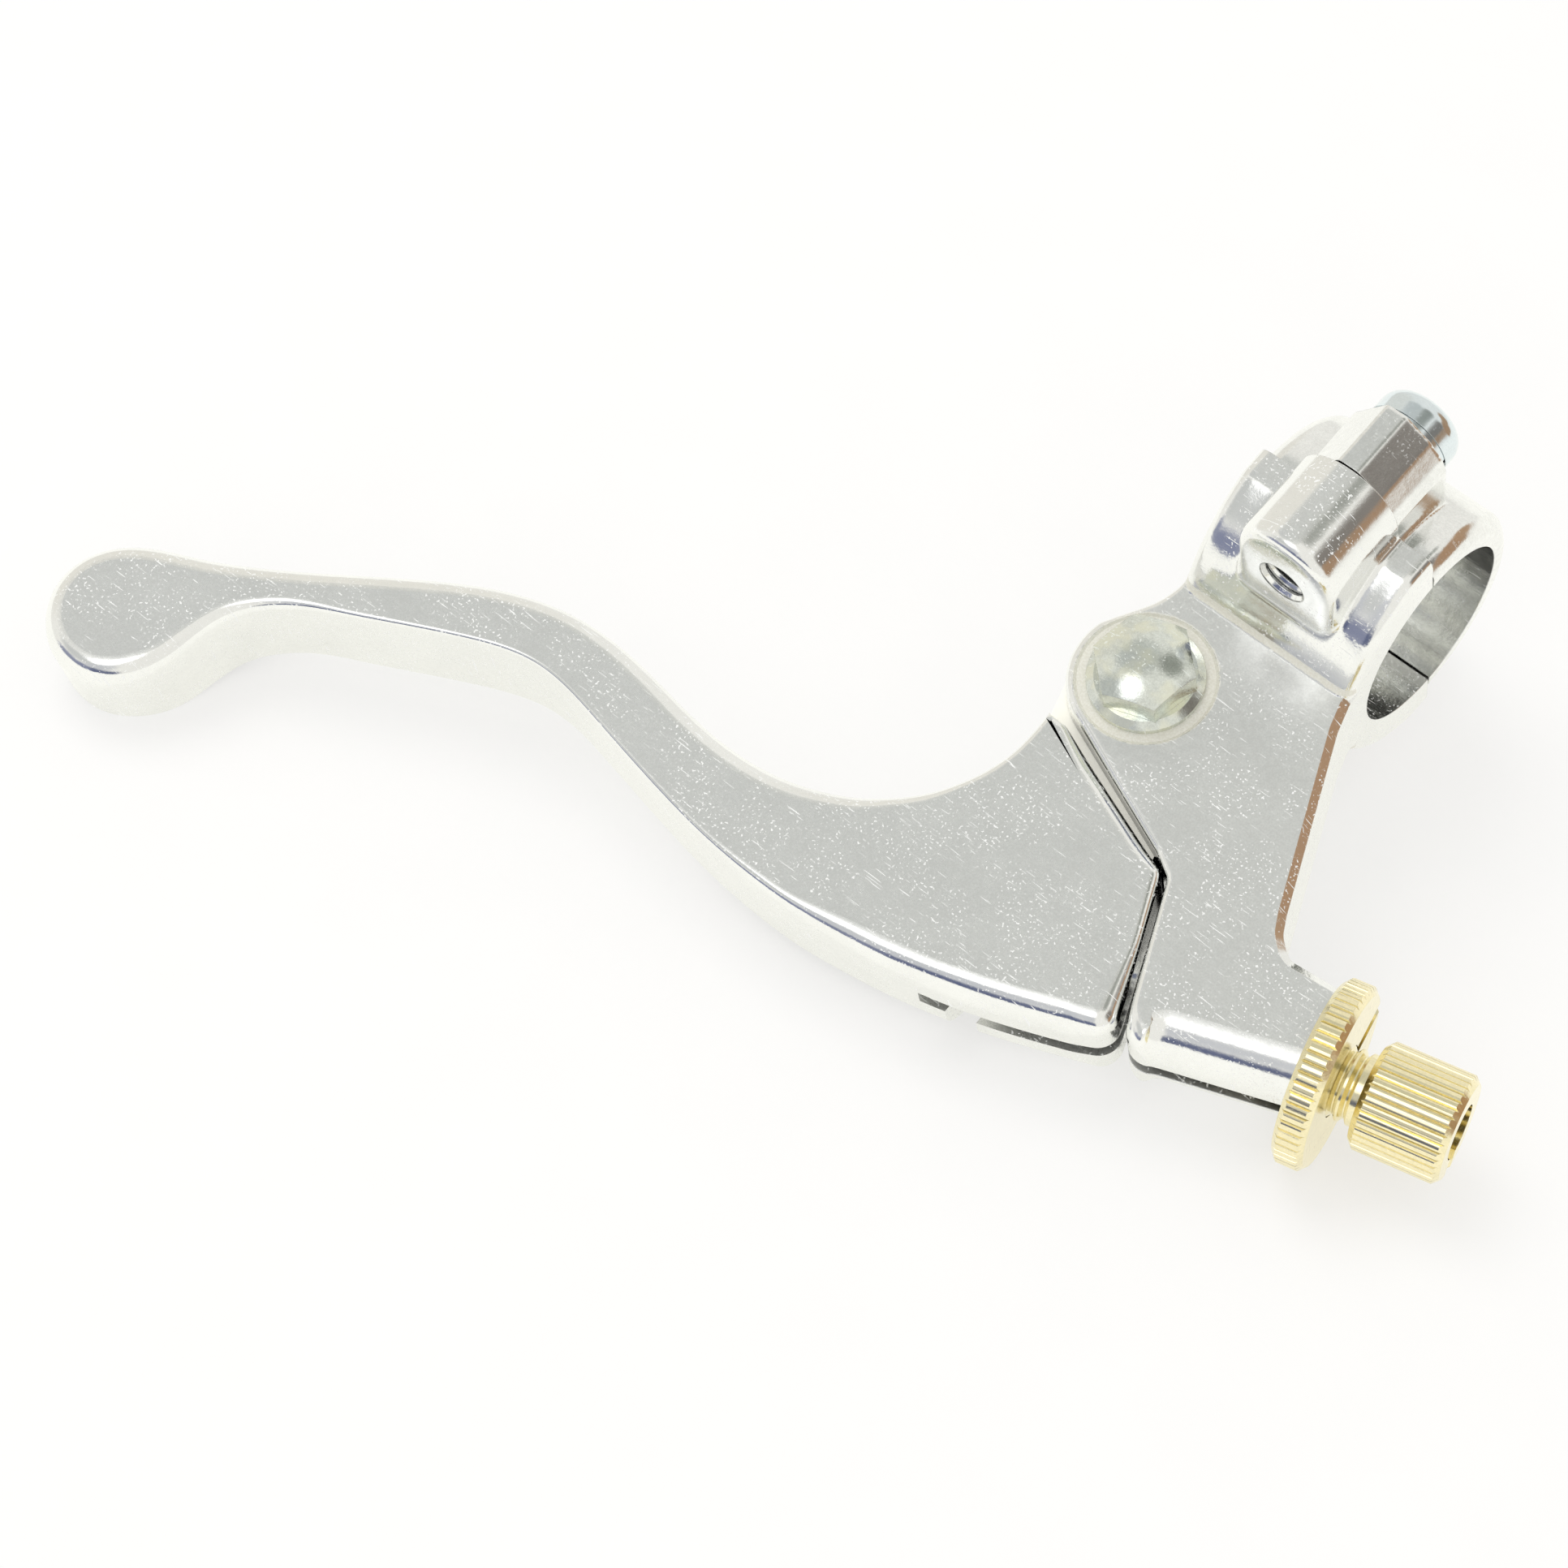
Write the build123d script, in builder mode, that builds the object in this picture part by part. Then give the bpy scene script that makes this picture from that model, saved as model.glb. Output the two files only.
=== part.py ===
"""Cable-operated clutch lever with its perch, bar clamp and cable adjuster.

Frame: origin on the handlebar axis at the middle of the clamp, +X along the
handlebar towards the cable adjuster, +Y away from the lever, +Z along the
pivot bolt towards its head.  Millimetres.  The pieces are drawn about the
pivot axis and moved to that origin as they are written out.
"""
import os
from math import cos, sin, radians, pi

from build123d import *

os.makedirs("parts", exist_ok=True)

CLEAR = 1.0                 # cutters start or stop this far outside a face

# ------------------------------------------------------------------ sizes
THICKNESS = 12.8            # lever and perch plate, centred on Z = 0
HALF_T = THICKNESS / 2
LEVER_EDGE_R = 1.4          # rolled edges of the lever forging

# handlebar clamp
BAR_R = 11.1                # 22.2 mm (7/8 in) handlebar
BAR_Y = 25.0                # handlebar axis: parallel to X at this Y, Z = 0
RING_X0, RING_X1 = -4.1, 18.6   # ends of the clamp ring
RING_L = RING_X1 - RING_X0
CAP_R = 14.3                # outer radius of the clamp cap
CAP_EDGE_R = 1.2
HALF_EDGE_R = 1.4           # end edges of the clamp half on the perch
SPLIT = 0.15                # each half stands back this far from the split plane
HALF_Y1 = BAR_Y - SPLIT     # split face of the perch
CAP_Y0 = BAR_Y + SPLIT      # split face of the cap
CAP_FLAT_X, CAP_FLAT_Z = 13.9, -12.8   # flat underneath the +X end of the cap

# clamp screws, their bosses and washers
SCREW_X = 7.7               # clamp screws run along Y
SCREW_Z = 17.1
SCREW_R = 3.0               # plain part of the M6 screw
TAP_R = 2.60                # tapped hole, modelled at its core size
CAP_HOLE_R = 3.3            # clearance hole for the screw
BOSS_Y0 = 13.4              # lever-side faces of the tapped bosses
BOSS_TOP = 25.0             # furthest Z of the tapped bosses
BOSS_HALF = 6.3             # half width of the tapped bosses
BOSS_ROOT_Z = 9.0           # the bosses start inside the ring at this Z
CAP_BOSS_Y1 = 33.5          # far faces of the cap bosses
CAP_BOSS_EDGE_R = 0.5
WASHER_T = 1.2
WASHER_R, WASHER_HOLE_R = 4.8, 3.1
WASHER_GAP_L, WASHER_GAP_W = 3.4, 0.5
HEAD_Y0 = CAP_BOSS_Y1 + WASHER_T
HEAD_R, HEAD_L, HEAD_EDGE_R = 4.9, 3.7, 2.2
SCREW_END_Y = 16.0
RECESS_L, RECESS_W, RECESS_D = 4.6, 1.1, 2.0   # cross recess

# pivot
PIVOT_R = 3.0               # M6 pivot bolt
PIVOT_HOLE_R = PIVOT_R + 0.05
BUSH_R = 4.5                # outside of the pivot bushing
SPOT_R, SPOT_D = 7.5, 0.25  # spot faces under the bolt head and washer
BOSS_R = 8.6                # pivot boss of the perch
TONGUE_T = 6.2              # lever tongue
FORK_T = 6.4                # slot of the perch fork
TONGUE_R = 8.5
FORK_R = 9.2

BOLT_SEAT = HALF_T - SPOT_D
BOLT_END_Z = -14.6
FLANGE_R, FLANGE_T = 6.4, 1.3
FLANGE_RIM_T = 0.7          # straight part of the flange, below its taper
HEX_AF = 10.0               # across flats of bolt head and nut
BOLT_HEAD_H = 5.9
CROWN_R = 10.7              # radius of the domed top of the head
NUT_SEAT = -HALF_T + SPOT_D
PIVOT_WASHER_R, PIVOT_WASHER_HOLE_R, PIVOT_WASHER_T = 6.0, 3.2, 1.0
NUT_Z = NUT_SEAT - PIVOT_WASHER_T   # nut face against the washer
NUT_H = 4.8                 # hexagon of the nut
NUT_END_Z = NUT_Z - NUT_H
NUT_HOLE_R = PIVOT_R + 0.02
COLLAR_R, COLLAR_L = 4.7, 1.7   # round collar below the hexagon
INSERT_Z = NUT_END_Z + 0.6  # upper end of the pocket for the insert
INSERT_R, INSERT_L = 4.0, 1.9   # pocket size
INSERT_FIT = 0.02           # the insert is smaller than its pocket by this

# cable line
CABLE_ARM = 30.5            # cable line to pivot axis
CABLE_DEG = 13.7            # cable line leans this far from +X towards +Y
CABLE_Z = -0.2
SLOT_W = 2.3                # cable slots in lever and perch
NIPPLE_R = 4.1
NIPPLE_TOP = 4.2
ENTRY_X0, ENTRY_X1 = 5.2, 8.6   # gap through which the cable drops into its slot

# perch arm
PERCH_EDGE_R = 0.7          # rolled edges all round the plate
FRONT_EDGE_R = 2.5          # wider roll of the arm's wall on the lever side
RIGHT_EDGE_R = 1.8          # wider roll of the wall between adjuster and clamp
PLATE_Y1 = 15.0             # the plate ends inside the clamp half

# adjuster: S values are distances along the cable line from its foot point
THREAD_R = 4.0              # M8 adjuster thread
THREAD_HOLE_R = THREAD_R + 0.05
THREAD_PITCH = 1.25
THREAD_DEPTH = 0.55
CREST_HALF, ROOT_HALF = 0.15, 0.08   # half widths of the thread's flats
PERCH_FACE_S = 32.7
PERCH_HOLE_S = 5.0          # start of the cutter for the adjuster hole
PERCH_SLOT_S = 10.0         # start of the cable slot in the perch
WHEEL_S0, WHEEL_S1 = 32.8, 36.3
WHEEL_R = 10.3
WHEEL_TEETH = 56
WHEEL_TOOTH_D = 0.42
BARREL_S0, BARREL_S1 = 39.3, 49.4
BARREL_R = 6.0
BARREL_TEETH = 38
BARREL_TOOTH_D = 0.38
BARREL_BEVEL = 0.75
BEVEL_GAP = 0.05            # the bevel profile stands off the knurled head by this
SHANK_S0 = 19.0
SHANK_CHAMFER = 0.8
SOCKET_R = 3.1              # socket for a 6 mm outer-cable ferrule
SOCKET_L = 8.0
CABLE_HOLE_R = 1.4
BARREL_SLOT_W = 1.8

# ------------------------------------------------------------------ cable frame
CABLE_COS, CABLE_SIN = cos(radians(CABLE_DEG)), sin(radians(CABLE_DEG))
FOOT = (CABLE_ARM * CABLE_SIN, -CABLE_ARM * CABLE_COS)   # nearest point to the pivot
CABLE_DIR = (CABLE_COS, CABLE_SIN, 0)


def on_cable(along, across=0.0):
    """Point at a distance along the cable line and across it to its bar side."""
    return (FOOT[0] + along * CABLE_COS - across * CABLE_SIN,
            FOOT[1] + along * CABLE_SIN + across * CABLE_COS)


def cable_plane(along):
    """Plane across the cable line: local x to the bar side, local y = Z."""
    x, y = on_cable(along)
    return Plane(origin=(x, y, CABLE_Z), x_dir=(-CABLE_SIN, CABLE_COS, 0), z_dir=CABLE_DIR)


# axis of the adjuster, and the plane of its turned profiles (along, radius)
CABLE_ORIGIN = cable_plane(0).origin
CABLE_AXIS = Axis(CABLE_ORIGIN, CABLE_DIR)
TURNING_PLANE = Plane(origin=CABLE_ORIGIN, x_dir=CABLE_DIR, z_dir=(0, 0, 1))


def screw_plane(y, z=0, side=1):
    """Plane across the clamp screws, facing +Y: local x = side * X, local y = -side * Z."""
    return Plane(origin=(SCREW_X, y, z), x_dir=(side, 0, 0), z_dir=(0, 1, 0))


# ------------------------------------------------------------------ outlines
# lever blade, (x, y): bar side from the pivot end to the ball, round the ball,
# then the finger side back to the cable root
LEVER_BACK = [
    (-5.75, -9.20), (-5.75, -14.65), (-7.60, -20.60), (-11.50, -25.85), (-17.30, -29.90),
    (-24.70, -32.40), (-33.00, -32.95), (-44.50, -31.60), (-54.40, -31.70), (-62.60, -34.20),
    (-72.20, -39.60), (-84.20, -47.40), (-92.60, -52.00),
]
LEVER_BALL = [
    (-98.60, -54.85), (-101.80, -57.60), (-103.50, -61.00), (-103.60, -64.60),
    (-102.10, -67.90), (-99.30, -70.30), (-95.60, -71.30), (-91.70, -70.60), (-88.40, -67.90),
    (-86.40, -63.60),
]
LEVER_FRONT = [
    (-84.90, -56.60), (-81.30, -51.90), (-73.20, -47.20), (-61.60, -41.60), (-53.40, -39.05),
    (-44.60, -39.80), (-28.00, -42.70), (-15.80, -43.45), (-4.20, -42.35), (8.00, -39.45),
    (20.20, -34.75),
]
LEVER_ROOT = [(22.15, -32.90), (17.70, -23.30), (14.60, -17.60), (13.70, -17.00), (-3.60, -10.60)]
# flanks of the lever tongue, (x, y)
TONGUE = [(8.24, 2.07), (13.2, -16.6), (6.0, -24.0), (-5.2, -22.0), (-5.6, -11.0), (-8.1, -2.5)]
# cable slot along the lever's finger side, (x, y)
LEVER_SLOT = [(2.1, -48.0), (2.9, -27.0), (14.0, -23.0), (26.0, -22.0), (30.0, -40.0)]
LEVER_SLOT_Y0 = -48.0

# perch plate, (x, y): from the clamp to the pivot boss, round the boss, along
# the gap to the lever, then from the adjuster face back to the clamp
PERCH_LEFT_Y = 11.5
BOSS_START = (-8.25, 2.43)
PERCH_LEFT = [(RING_X0, PERCH_LEFT_Y), (-4.9, 8.2), (-6.6, 5.2), BOSS_START]
BOSS_MID = (-7.7, -3.83)
BOSS_END = (-0.363 * BOSS_R, -0.932 * BOSS_R)
PERCH_GAP = [(13.30, -14.70), (15.70, -16.00), (16.50, -17.40), (20.30, -25.80), (22.35, -30.60),
             (23.60, -33.10)]
FACE_START, FACE_END = on_cable(PERCH_FACE_S, -4.9), on_cable(PERCH_FACE_S, 6.3)
PERCH_RIGHT = [(34.6, -15.95), (31.2, -15.45), (29.35, -13.9), (28.3, -12.0), (19.6, 7.6),
               (18.6, 10.9)]
# upright corners to round: window x0, x1, y0, y1 and radius
PERCH_CORNERS = [
    (24.0, 36.0, -17.0, 9.0, 1.6),
    (14.0, 17.5, -40.0, 0.0, 1.0),
    (23.0, 24.2, -40.0, -32.0, 1.6),
]
# fork slot beyond its round end, (x, y)
FORK = [(9.0, 2.0), (14.9, -15.2), (14.0, -22.0), (-16.0, -22.0), (-16.0, 0.5), (-9.0, 0.5)]

# lever-side contour of the clamp half, (y, z)
HALF_TOP_Z = 17.0           # Z of the contour at the split face
HALF_CURVE = [(21.5, 16.85), (16.6, 14.1), (12.9, 10.1), (10.4, 5.4), (9.5, 0), (10.4, -5.4),
              (12.9, -10.1), (16.6, -14.1), (21.5, -16.85)]
# cap boss on a screw plane, (x, -z) from the screw's X
CAP_BOSS = [(-6.0, -9.0), (6.0, -9.0), (6.0, -19.0), (5.5, -20.5), (3.9, -22.6), (0.7, -24.7),
            (-1.7, -24.7), (-6.0, -18.4)]


def at_ring_end(edge):
    """True for edges lying in either end face of the clamp ring."""
    x = edge.center().X
    return abs(x - RING_X0) < 0.01 or abs(x - RING_X1) < 0.01


# ------------------------------------------------------------------ perch
def wall_planes(start, stop, extra):
    """Planes across a wall at its top and bottom rims, with the length to cut.

    Local x points into the plate and local y away from its mid-plane.
    """
    step = Vector(stop[0] - start[0], stop[1] - start[1], 0)
    length = step.length + 2 * extra
    along = step.normalized()
    inward = Vector(-along.Y, along.X, 0)
    first = Vector(start[0], start[1], 0) - along * extra
    last = first + along * length
    rise = Vector(0, 0, HALF_T)
    return ((Plane(origin=first + rise, x_dir=inward, z_dir=along), length),
            (Plane(origin=last - rise, x_dir=inward, z_dir=along * -1), length))


def make_perch_plate():
    with BuildPart() as plate:
        with BuildSketch(Plane.XY):
            with BuildLine():
                Line((RING_X0, PLATE_Y1), PERCH_LEFT[0])
                Spline(*PERCH_LEFT, tangents=[(0, -1), (-0.28, -0.96)])
                ThreePointArc(BOSS_START, BOSS_MID, BOSS_END)
                Polyline(BOSS_END, *PERCH_GAP[:2])
                Polyline(*PERCH_GAP[1:])
                Line(PERCH_GAP[-1], FACE_START)
                Line(FACE_START, FACE_END)
                Polyline(FACE_END, *PERCH_RIGHT, (RING_X1, PLATE_Y1))
                Line((RING_X1, PLATE_Y1), (RING_X0, PLATE_Y1))
            make_face()
        extrude(amount=HALF_T, both=True)
        for x0, x1, y0, y1, radius in PERCH_CORNERS:
            fillet(plate.edges().filter_by(Axis.Z).filter_by(
                lambda e: x0 < e.center().X < x1 and y0 < e.center().Y < y1), radius)
        # rolled top and bottom edges, clear of the clamp
        for rim in (-1, 0):
            fillet(plate.edges().group_by(Axis.Z)[rim].filter_by(
                lambda e: e.center().Y < 10), PERCH_EDGE_R)
        # wider rolls, cut wall by wall: start, stop, radius, overrun at each end
        wall = [FACE_END, *PERCH_RIGHT, (RING_X1, 13.0)]
        rolls = [(PERCH_GAP[-1], FACE_START, FRONT_EDGE_R, 2.0)]
        rolls += [(a, b, RIGHT_EDGE_R, 0.7) for a, b in zip(wall, wall[1:])]
        for start, stop, radius, extra in rolls:
            inset = radius * (1 - cos(radians(45)))
            for rim_plane, length in wall_planes(start, stop, extra):
                with BuildSketch(rim_plane):
                    with BuildLine():
                        Polyline((0, -radius), (-CLEAR, -radius), (-CLEAR, CLEAR),
                                 (radius, CLEAR), (radius, 0))
                        ThreePointArc((radius, 0), (inset, -inset), (0, -radius))
                    make_face()
                extrude(amount=length, mode=Mode.SUBTRACT)
    return plate.part


def make_perch_body():
    plate = make_perch_plate()
    with BuildPart() as body:
        # clamp half next to the lever
        with BuildSketch(Plane.YZ.offset(RING_X0)):
            with BuildLine():
                Line((HALF_Y1, HALF_TOP_Z), HALF_CURVE[0])
                Spline(*HALF_CURVE)
                Line(HALF_CURVE[-1], (HALF_Y1, -HALF_TOP_Z))
                Line((HALF_Y1, -HALF_TOP_Z), (HALF_Y1, HALF_TOP_Z))
            make_face()
        extrude(amount=RING_L)
        fillet(body.edges().filter_by(at_ring_end).filter_by(
            lambda e: e.center().Y < BAR_Y - 1), HALF_EDGE_R)
        # tapped bosses above and below
        arc_z = BOSS_TOP - BOSS_HALF
        for side in (1, -1):
            with BuildSketch(screw_plane(BOSS_Y0, side=side)):
                with BuildLine():
                    Polyline((-BOSS_HALF, -arc_z), (-BOSS_HALF, -BOSS_ROOT_Z),
                             (BOSS_HALF, -BOSS_ROOT_Z), (BOSS_HALF, -arc_z))
                    ThreePointArc((BOSS_HALF, -arc_z), (0, -BOSS_TOP), (-BOSS_HALF, -arc_z))
                make_face()
            extrude(amount=HALF_Y1 - BOSS_Y0)
        chamfer(body.edges().filter_by(
            lambda e: abs(e.center().Y - BOSS_Y0) < 0.05 and abs(e.center().Z) > 18.5
            and e.geom_type == GeomType.CIRCLE), 1.8, 1.5)
        add(plate)
        # bar bore
        with BuildSketch(Plane.YZ.offset(RING_X0 - CLEAR)):
            with Locations((BAR_Y, 0)):
                Circle(BAR_R)
        extrude(amount=RING_L + 2 * CLEAR, mode=Mode.SUBTRACT)
        # tapped holes for the clamp screws
        with BuildSketch(screw_plane(BOSS_Y0 - CLEAR)):
            with Locations((0, SCREW_Z), (0, -SCREW_Z)):
                Circle(TAP_R)
        extrude(amount=BAR_Y - BOSS_Y0 + 2 * CLEAR, mode=Mode.SUBTRACT)
        # fork slot that takes the lever's tongue through its whole swing
        with BuildSketch(Plane.XY):
            Circle(FORK_R)
            with BuildLine():
                Polyline(*FORK, close=True)
            make_face()
        extrude(amount=FORK_T / 2, both=True, mode=Mode.SUBTRACT)
        # pivot hole and the spot faces round it
        with BuildSketch(Plane.XY):
            Circle(PIVOT_HOLE_R)
        extrude(amount=HALF_T + CLEAR, both=True, mode=Mode.SUBTRACT)
        for seat, depth in ((BOLT_SEAT, 2), (NUT_SEAT, -2)):
            with BuildSketch(Plane.XY.offset(seat)):
                Circle(SPOT_R)
            extrude(amount=depth, mode=Mode.SUBTRACT)
        # adjuster hole along the cable line
        with BuildSketch(cable_plane(PERCH_HOLE_S)):
            Circle(THREAD_HOLE_R)
        extrude(amount=PERCH_FACE_S, mode=Mode.SUBTRACT)
        # slot that lets the inner cable into the adjuster hole from the lever side
        slot_end = PERCH_FACE_S + 2
        with BuildSketch(Plane.XY.offset(CABLE_Z - SLOT_W / 2)):
            with BuildLine():
                Polyline(on_cable(PERCH_SLOT_S), on_cable(slot_end),
                         on_cable(slot_end, -14), on_cable(PERCH_SLOT_S, -14), close=True)
            make_face()
        extrude(amount=SLOT_W, mode=Mode.SUBTRACT)
    return body.part


# ------------------------------------------------------------------ clamp cap and screws
def make_clamp_cap():
    with BuildPart() as cap:
        # half disc beyond the split face
        with BuildSketch(Plane.YZ.offset(RING_X0)):
            with Locations((BAR_Y, 0)):
                Circle(CAP_R)
            with Locations((CAP_Y0 - 20, 0)):
                Rectangle(40, 60, mode=Mode.SUBTRACT)
        extrude(amount=RING_L)
        fillet(cap.edges().filter_by(at_ring_end).filter_by(
            lambda e: e.geom_type == GeomType.CIRCLE), CAP_EDGE_R)
        # flat underneath the +X end
        with BuildSketch(Plane.YZ.offset(CAP_FLAT_X)):
            with Locations((BAR_Y + 10, CAP_FLAT_Z - 5)):
                Rectangle(30, 10)
        extrude(amount=10, mode=Mode.SUBTRACT)
        for side in (1, -1):
            with BuildSketch(screw_plane(CAP_Y0, side=side)):
                with BuildLine():
                    Polyline(*CAP_BOSS, close=True)
                make_face()
            extrude(amount=CAP_BOSS_Y1 - BAR_Y - SPLIT)
        fillet(cap.edges().filter_by(
            lambda e: abs(e.center().Y - CAP_BOSS_Y1) < 0.01 and abs(e.center().Z) > 15),
            CAP_BOSS_EDGE_R)
        with BuildSketch(Plane.YZ.offset(RING_X0 - CLEAR)):
            with Locations((BAR_Y, 0)):
                Circle(BAR_R)
        extrude(amount=RING_L + 2 * CLEAR, mode=Mode.SUBTRACT)
        with BuildSketch(screw_plane(BAR_Y - CLEAR)):
            with Locations((0, SCREW_Z), (0, -SCREW_Z)):
                Circle(CAP_HOLE_R)
        extrude(amount=20, mode=Mode.SUBTRACT)
    return cap.part


def make_clamp_screw(z):
    with BuildPart() as screw:
        with BuildSketch(screw_plane(SCREW_END_Y, z)):
            Circle(TAP_R - 0.03)
        extrude(amount=BAR_Y - SCREW_END_Y)
        chamfer(screw.edges().group_by(Axis.Y)[0], 0.6)
        with BuildSketch(screw_plane(BAR_Y, z)):
            Circle(SCREW_R)
        extrude(amount=HEAD_Y0 - BAR_Y + 0.1)
        with BuildSketch(screw_plane(HEAD_Y0, z)):
            Circle(HEAD_R)
        extrude(amount=HEAD_L)
        fillet(screw.edges().group_by(Axis.Y)[-1], HEAD_EDGE_R)
        # cross recess
        with BuildSketch(screw_plane(HEAD_Y0 + HEAD_L, z)):
            Rectangle(RECESS_L, RECESS_W)
            Rectangle(RECESS_W, RECESS_L)
        extrude(amount=-RECESS_D, taper=8, mode=Mode.SUBTRACT)
    return screw.part


def make_spring_washer(z):
    with BuildPart() as washer:
        with BuildSketch(screw_plane(CAP_BOSS_Y1, z)):
            Circle(WASHER_R)
            Circle(WASHER_HOLE_R, mode=Mode.SUBTRACT)
            with Locations(Location((4.0, 0), -35)):
                Rectangle(WASHER_GAP_L, WASHER_GAP_W, mode=Mode.SUBTRACT)
        extrude(amount=WASHER_T)
    return washer.part


# ------------------------------------------------------------------ lever
def make_lever():
    with BuildPart() as lever:
        with BuildSketch(Plane.XY):
            with BuildLine():
                Spline(*LEVER_BACK, *LEVER_BALL, *LEVER_FRONT)
                Polyline(LEVER_FRONT[-1], *LEVER_ROOT, LEVER_BACK[0])
            make_face()
        extrude(amount=HALF_T, both=True)
        fillet(lever.edges().filter_by(Axis.Z).filter_by(lambda e: e.center().X > 19), 1.9)
        # the longest edge of each rim is the blade outline
        for rim in (-1, 0):
            fillet(lever.edges().group_by(Axis.Z)[rim].sort_by(SortBy.LENGTH)[-1], LEVER_EDGE_R)
        # tongue that enters the fork
        with BuildSketch(Plane.XY):
            Circle(TONGUE_R)
            with BuildLine():
                Polyline(*TONGUE, close=True)
            make_face()
        extrude(amount=TONGUE_T / 2, both=True)
        with BuildSketch(Plane.XY):
            Circle(BUSH_R)
        extrude(amount=HALF_T + CLEAR, both=True, mode=Mode.SUBTRACT)
        # pocket for the barrel nipple, open below
        with BuildSketch(Plane.XY.offset(-HALF_T - CLEAR)):
            with Locations(FOOT):
                Circle(NIPPLE_R)
        extrude(amount=HALF_T + CLEAR + NIPPLE_TOP, mode=Mode.SUBTRACT)
        # cable slot along the finger side, and the entry gap in its lower lip
        with BuildSketch(Plane.XY.offset(CABLE_Z - SLOT_W / 2)):
            with BuildLine():
                Polyline(*LEVER_SLOT, close=True)
            make_face()
        extrude(amount=SLOT_W, mode=Mode.SUBTRACT)
        with BuildSketch(Plane.XY.offset(-HALF_T - CLEAR)):
            with BuildLine():
                Polyline((ENTRY_X0, LEVER_SLOT_Y0), (ENTRY_X0, FOOT[1]), (ENTRY_X1, FOOT[1]),
                         (ENTRY_X1, LEVER_SLOT_Y0), close=True)
            make_face()
        extrude(amount=HALF_T + CLEAR + CABLE_Z, mode=Mode.SUBTRACT)
    return lever.part


# ------------------------------------------------------------------ pivot
def make_pivot_bushing():
    with BuildPart() as bushing:
        with BuildSketch(Plane.XY):
            Circle(BUSH_R)
            Circle(PIVOT_HOLE_R, mode=Mode.SUBTRACT)
        extrude(amount=TONGUE_T / 2, both=True)
        # edges of the bore
        chamfer(bushing.edges().filter_by(GeomType.CIRCLE).filter_by(
            lambda e: e.radius < 4), 0.3)
    return bushing.part


def make_pivot_bolt():
    # hexagon with a domed crown
    with BuildPart() as hexagon:
        with BuildSketch(Plane.XY.offset(BOLT_SEAT)):
            RegularPolygon(radius=HEX_AF / 2, side_count=6, major_radius=False, rotation=19)
        extrude(amount=BOLT_HEAD_H)
        with Locations((0, 0, BOLT_SEAT + BOLT_HEAD_H - CROWN_R)):
            Sphere(CROWN_R, mode=Mode.INTERSECT)

    with BuildPart() as bolt:
        with BuildSketch(Plane.XY.offset(BOLT_END_Z)):
            Circle(PIVOT_R)
        extrude(amount=BOLT_SEAT - BOLT_END_Z + 0.1)
        chamfer(bolt.edges().group_by(Axis.Z)[0], 0.7)
        # flange: straight rim, then a tapered top
        with BuildSketch(Plane.XY.offset(BOLT_SEAT)):
            Circle(FLANGE_R)
        extrude(amount=FLANGE_RIM_T)
        with BuildSketch(Plane.XY.offset(BOLT_SEAT + FLANGE_RIM_T)):
            Circle(FLANGE_R)
        extrude(amount=FLANGE_T - FLANGE_RIM_T, taper=55)
        add(hexagon.part)
    return bolt.part


def make_pivot_washer():
    with BuildPart() as washer:
        with BuildSketch(Plane.XY.offset(NUT_SEAT)):
            Circle(PIVOT_WASHER_R)
            Circle(PIVOT_WASHER_HOLE_R, mode=Mode.SUBTRACT)
        extrude(amount=-PIVOT_WASHER_T)
        fillet(washer.edges().filter_by(GeomType.CIRCLE).filter_by(lambda e: e.radius > 5), 0.2)
    return washer.part


def make_pivot_nut():
    with BuildPart() as nut:
        with BuildSketch(Plane.XY.offset(NUT_Z)):
            RegularPolygon(radius=HEX_AF / 2, side_count=6, major_radius=False, rotation=8)
        extrude(amount=-NUT_H)
        with BuildSketch(Plane.XY.offset(NUT_END_Z)):
            Circle(COLLAR_R)
        extrude(amount=-COLLAR_L)
        fillet(nut.edges().group_by(Axis.Z)[0], 0.6)
        # turned envelope that bevels the hexagon's corners, (radius, z)
        with BuildSketch(Plane.XZ):
            with BuildLine():
                Polyline((0, NUT_Z), (5.3, NUT_Z), (5.85, NUT_Z - 0.4), (5.85, NUT_END_Z + 0.5),
                         (4.9, NUT_END_Z - 0.1), (4.9, NUT_Z - 8), (0, NUT_Z - 8), close=True)
            make_face()
        revolve(axis=Axis.Z, mode=Mode.INTERSECT)
        with BuildSketch(Plane.XY.offset(NUT_Z)):
            Circle(NUT_HOLE_R)
        extrude(amount=-10, mode=Mode.SUBTRACT)
        # pocket for the insert
        with BuildSketch(Plane.XY.offset(INSERT_Z)):
            Circle(INSERT_R)
        extrude(amount=-INSERT_L, mode=Mode.SUBTRACT)
    return nut.part


def make_nut_insert():
    with BuildPart() as insert:
        with BuildSketch(Plane.XY.offset(INSERT_Z)):
            Circle(INSERT_R - INSERT_FIT)
            Circle(NUT_HOLE_R, mode=Mode.SUBTRACT)
        extrude(amount=-(INSERT_L - INSERT_FIT))
    return insert.part


# ------------------------------------------------------------------ adjuster
def knurl(radius, teeth, depth, land=0.36):
    """Points of a straight knurl: flat-topped ridges parted by V grooves."""
    pitch = 2 * pi / teeth
    shoulder = radius - 0.06
    tooth = ((-land * pitch, shoulder), (-land * pitch / 2, radius), (land * pitch / 2, radius),
             (land * pitch, shoulder), (0.5 * pitch, radius - depth))
    points = []
    for i in range(teeth):
        angle = 2 * pi * i / teeth
        points += [(r * cos(angle + turn), r * sin(angle + turn)) for turn, r in tooth]
    return points


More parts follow.
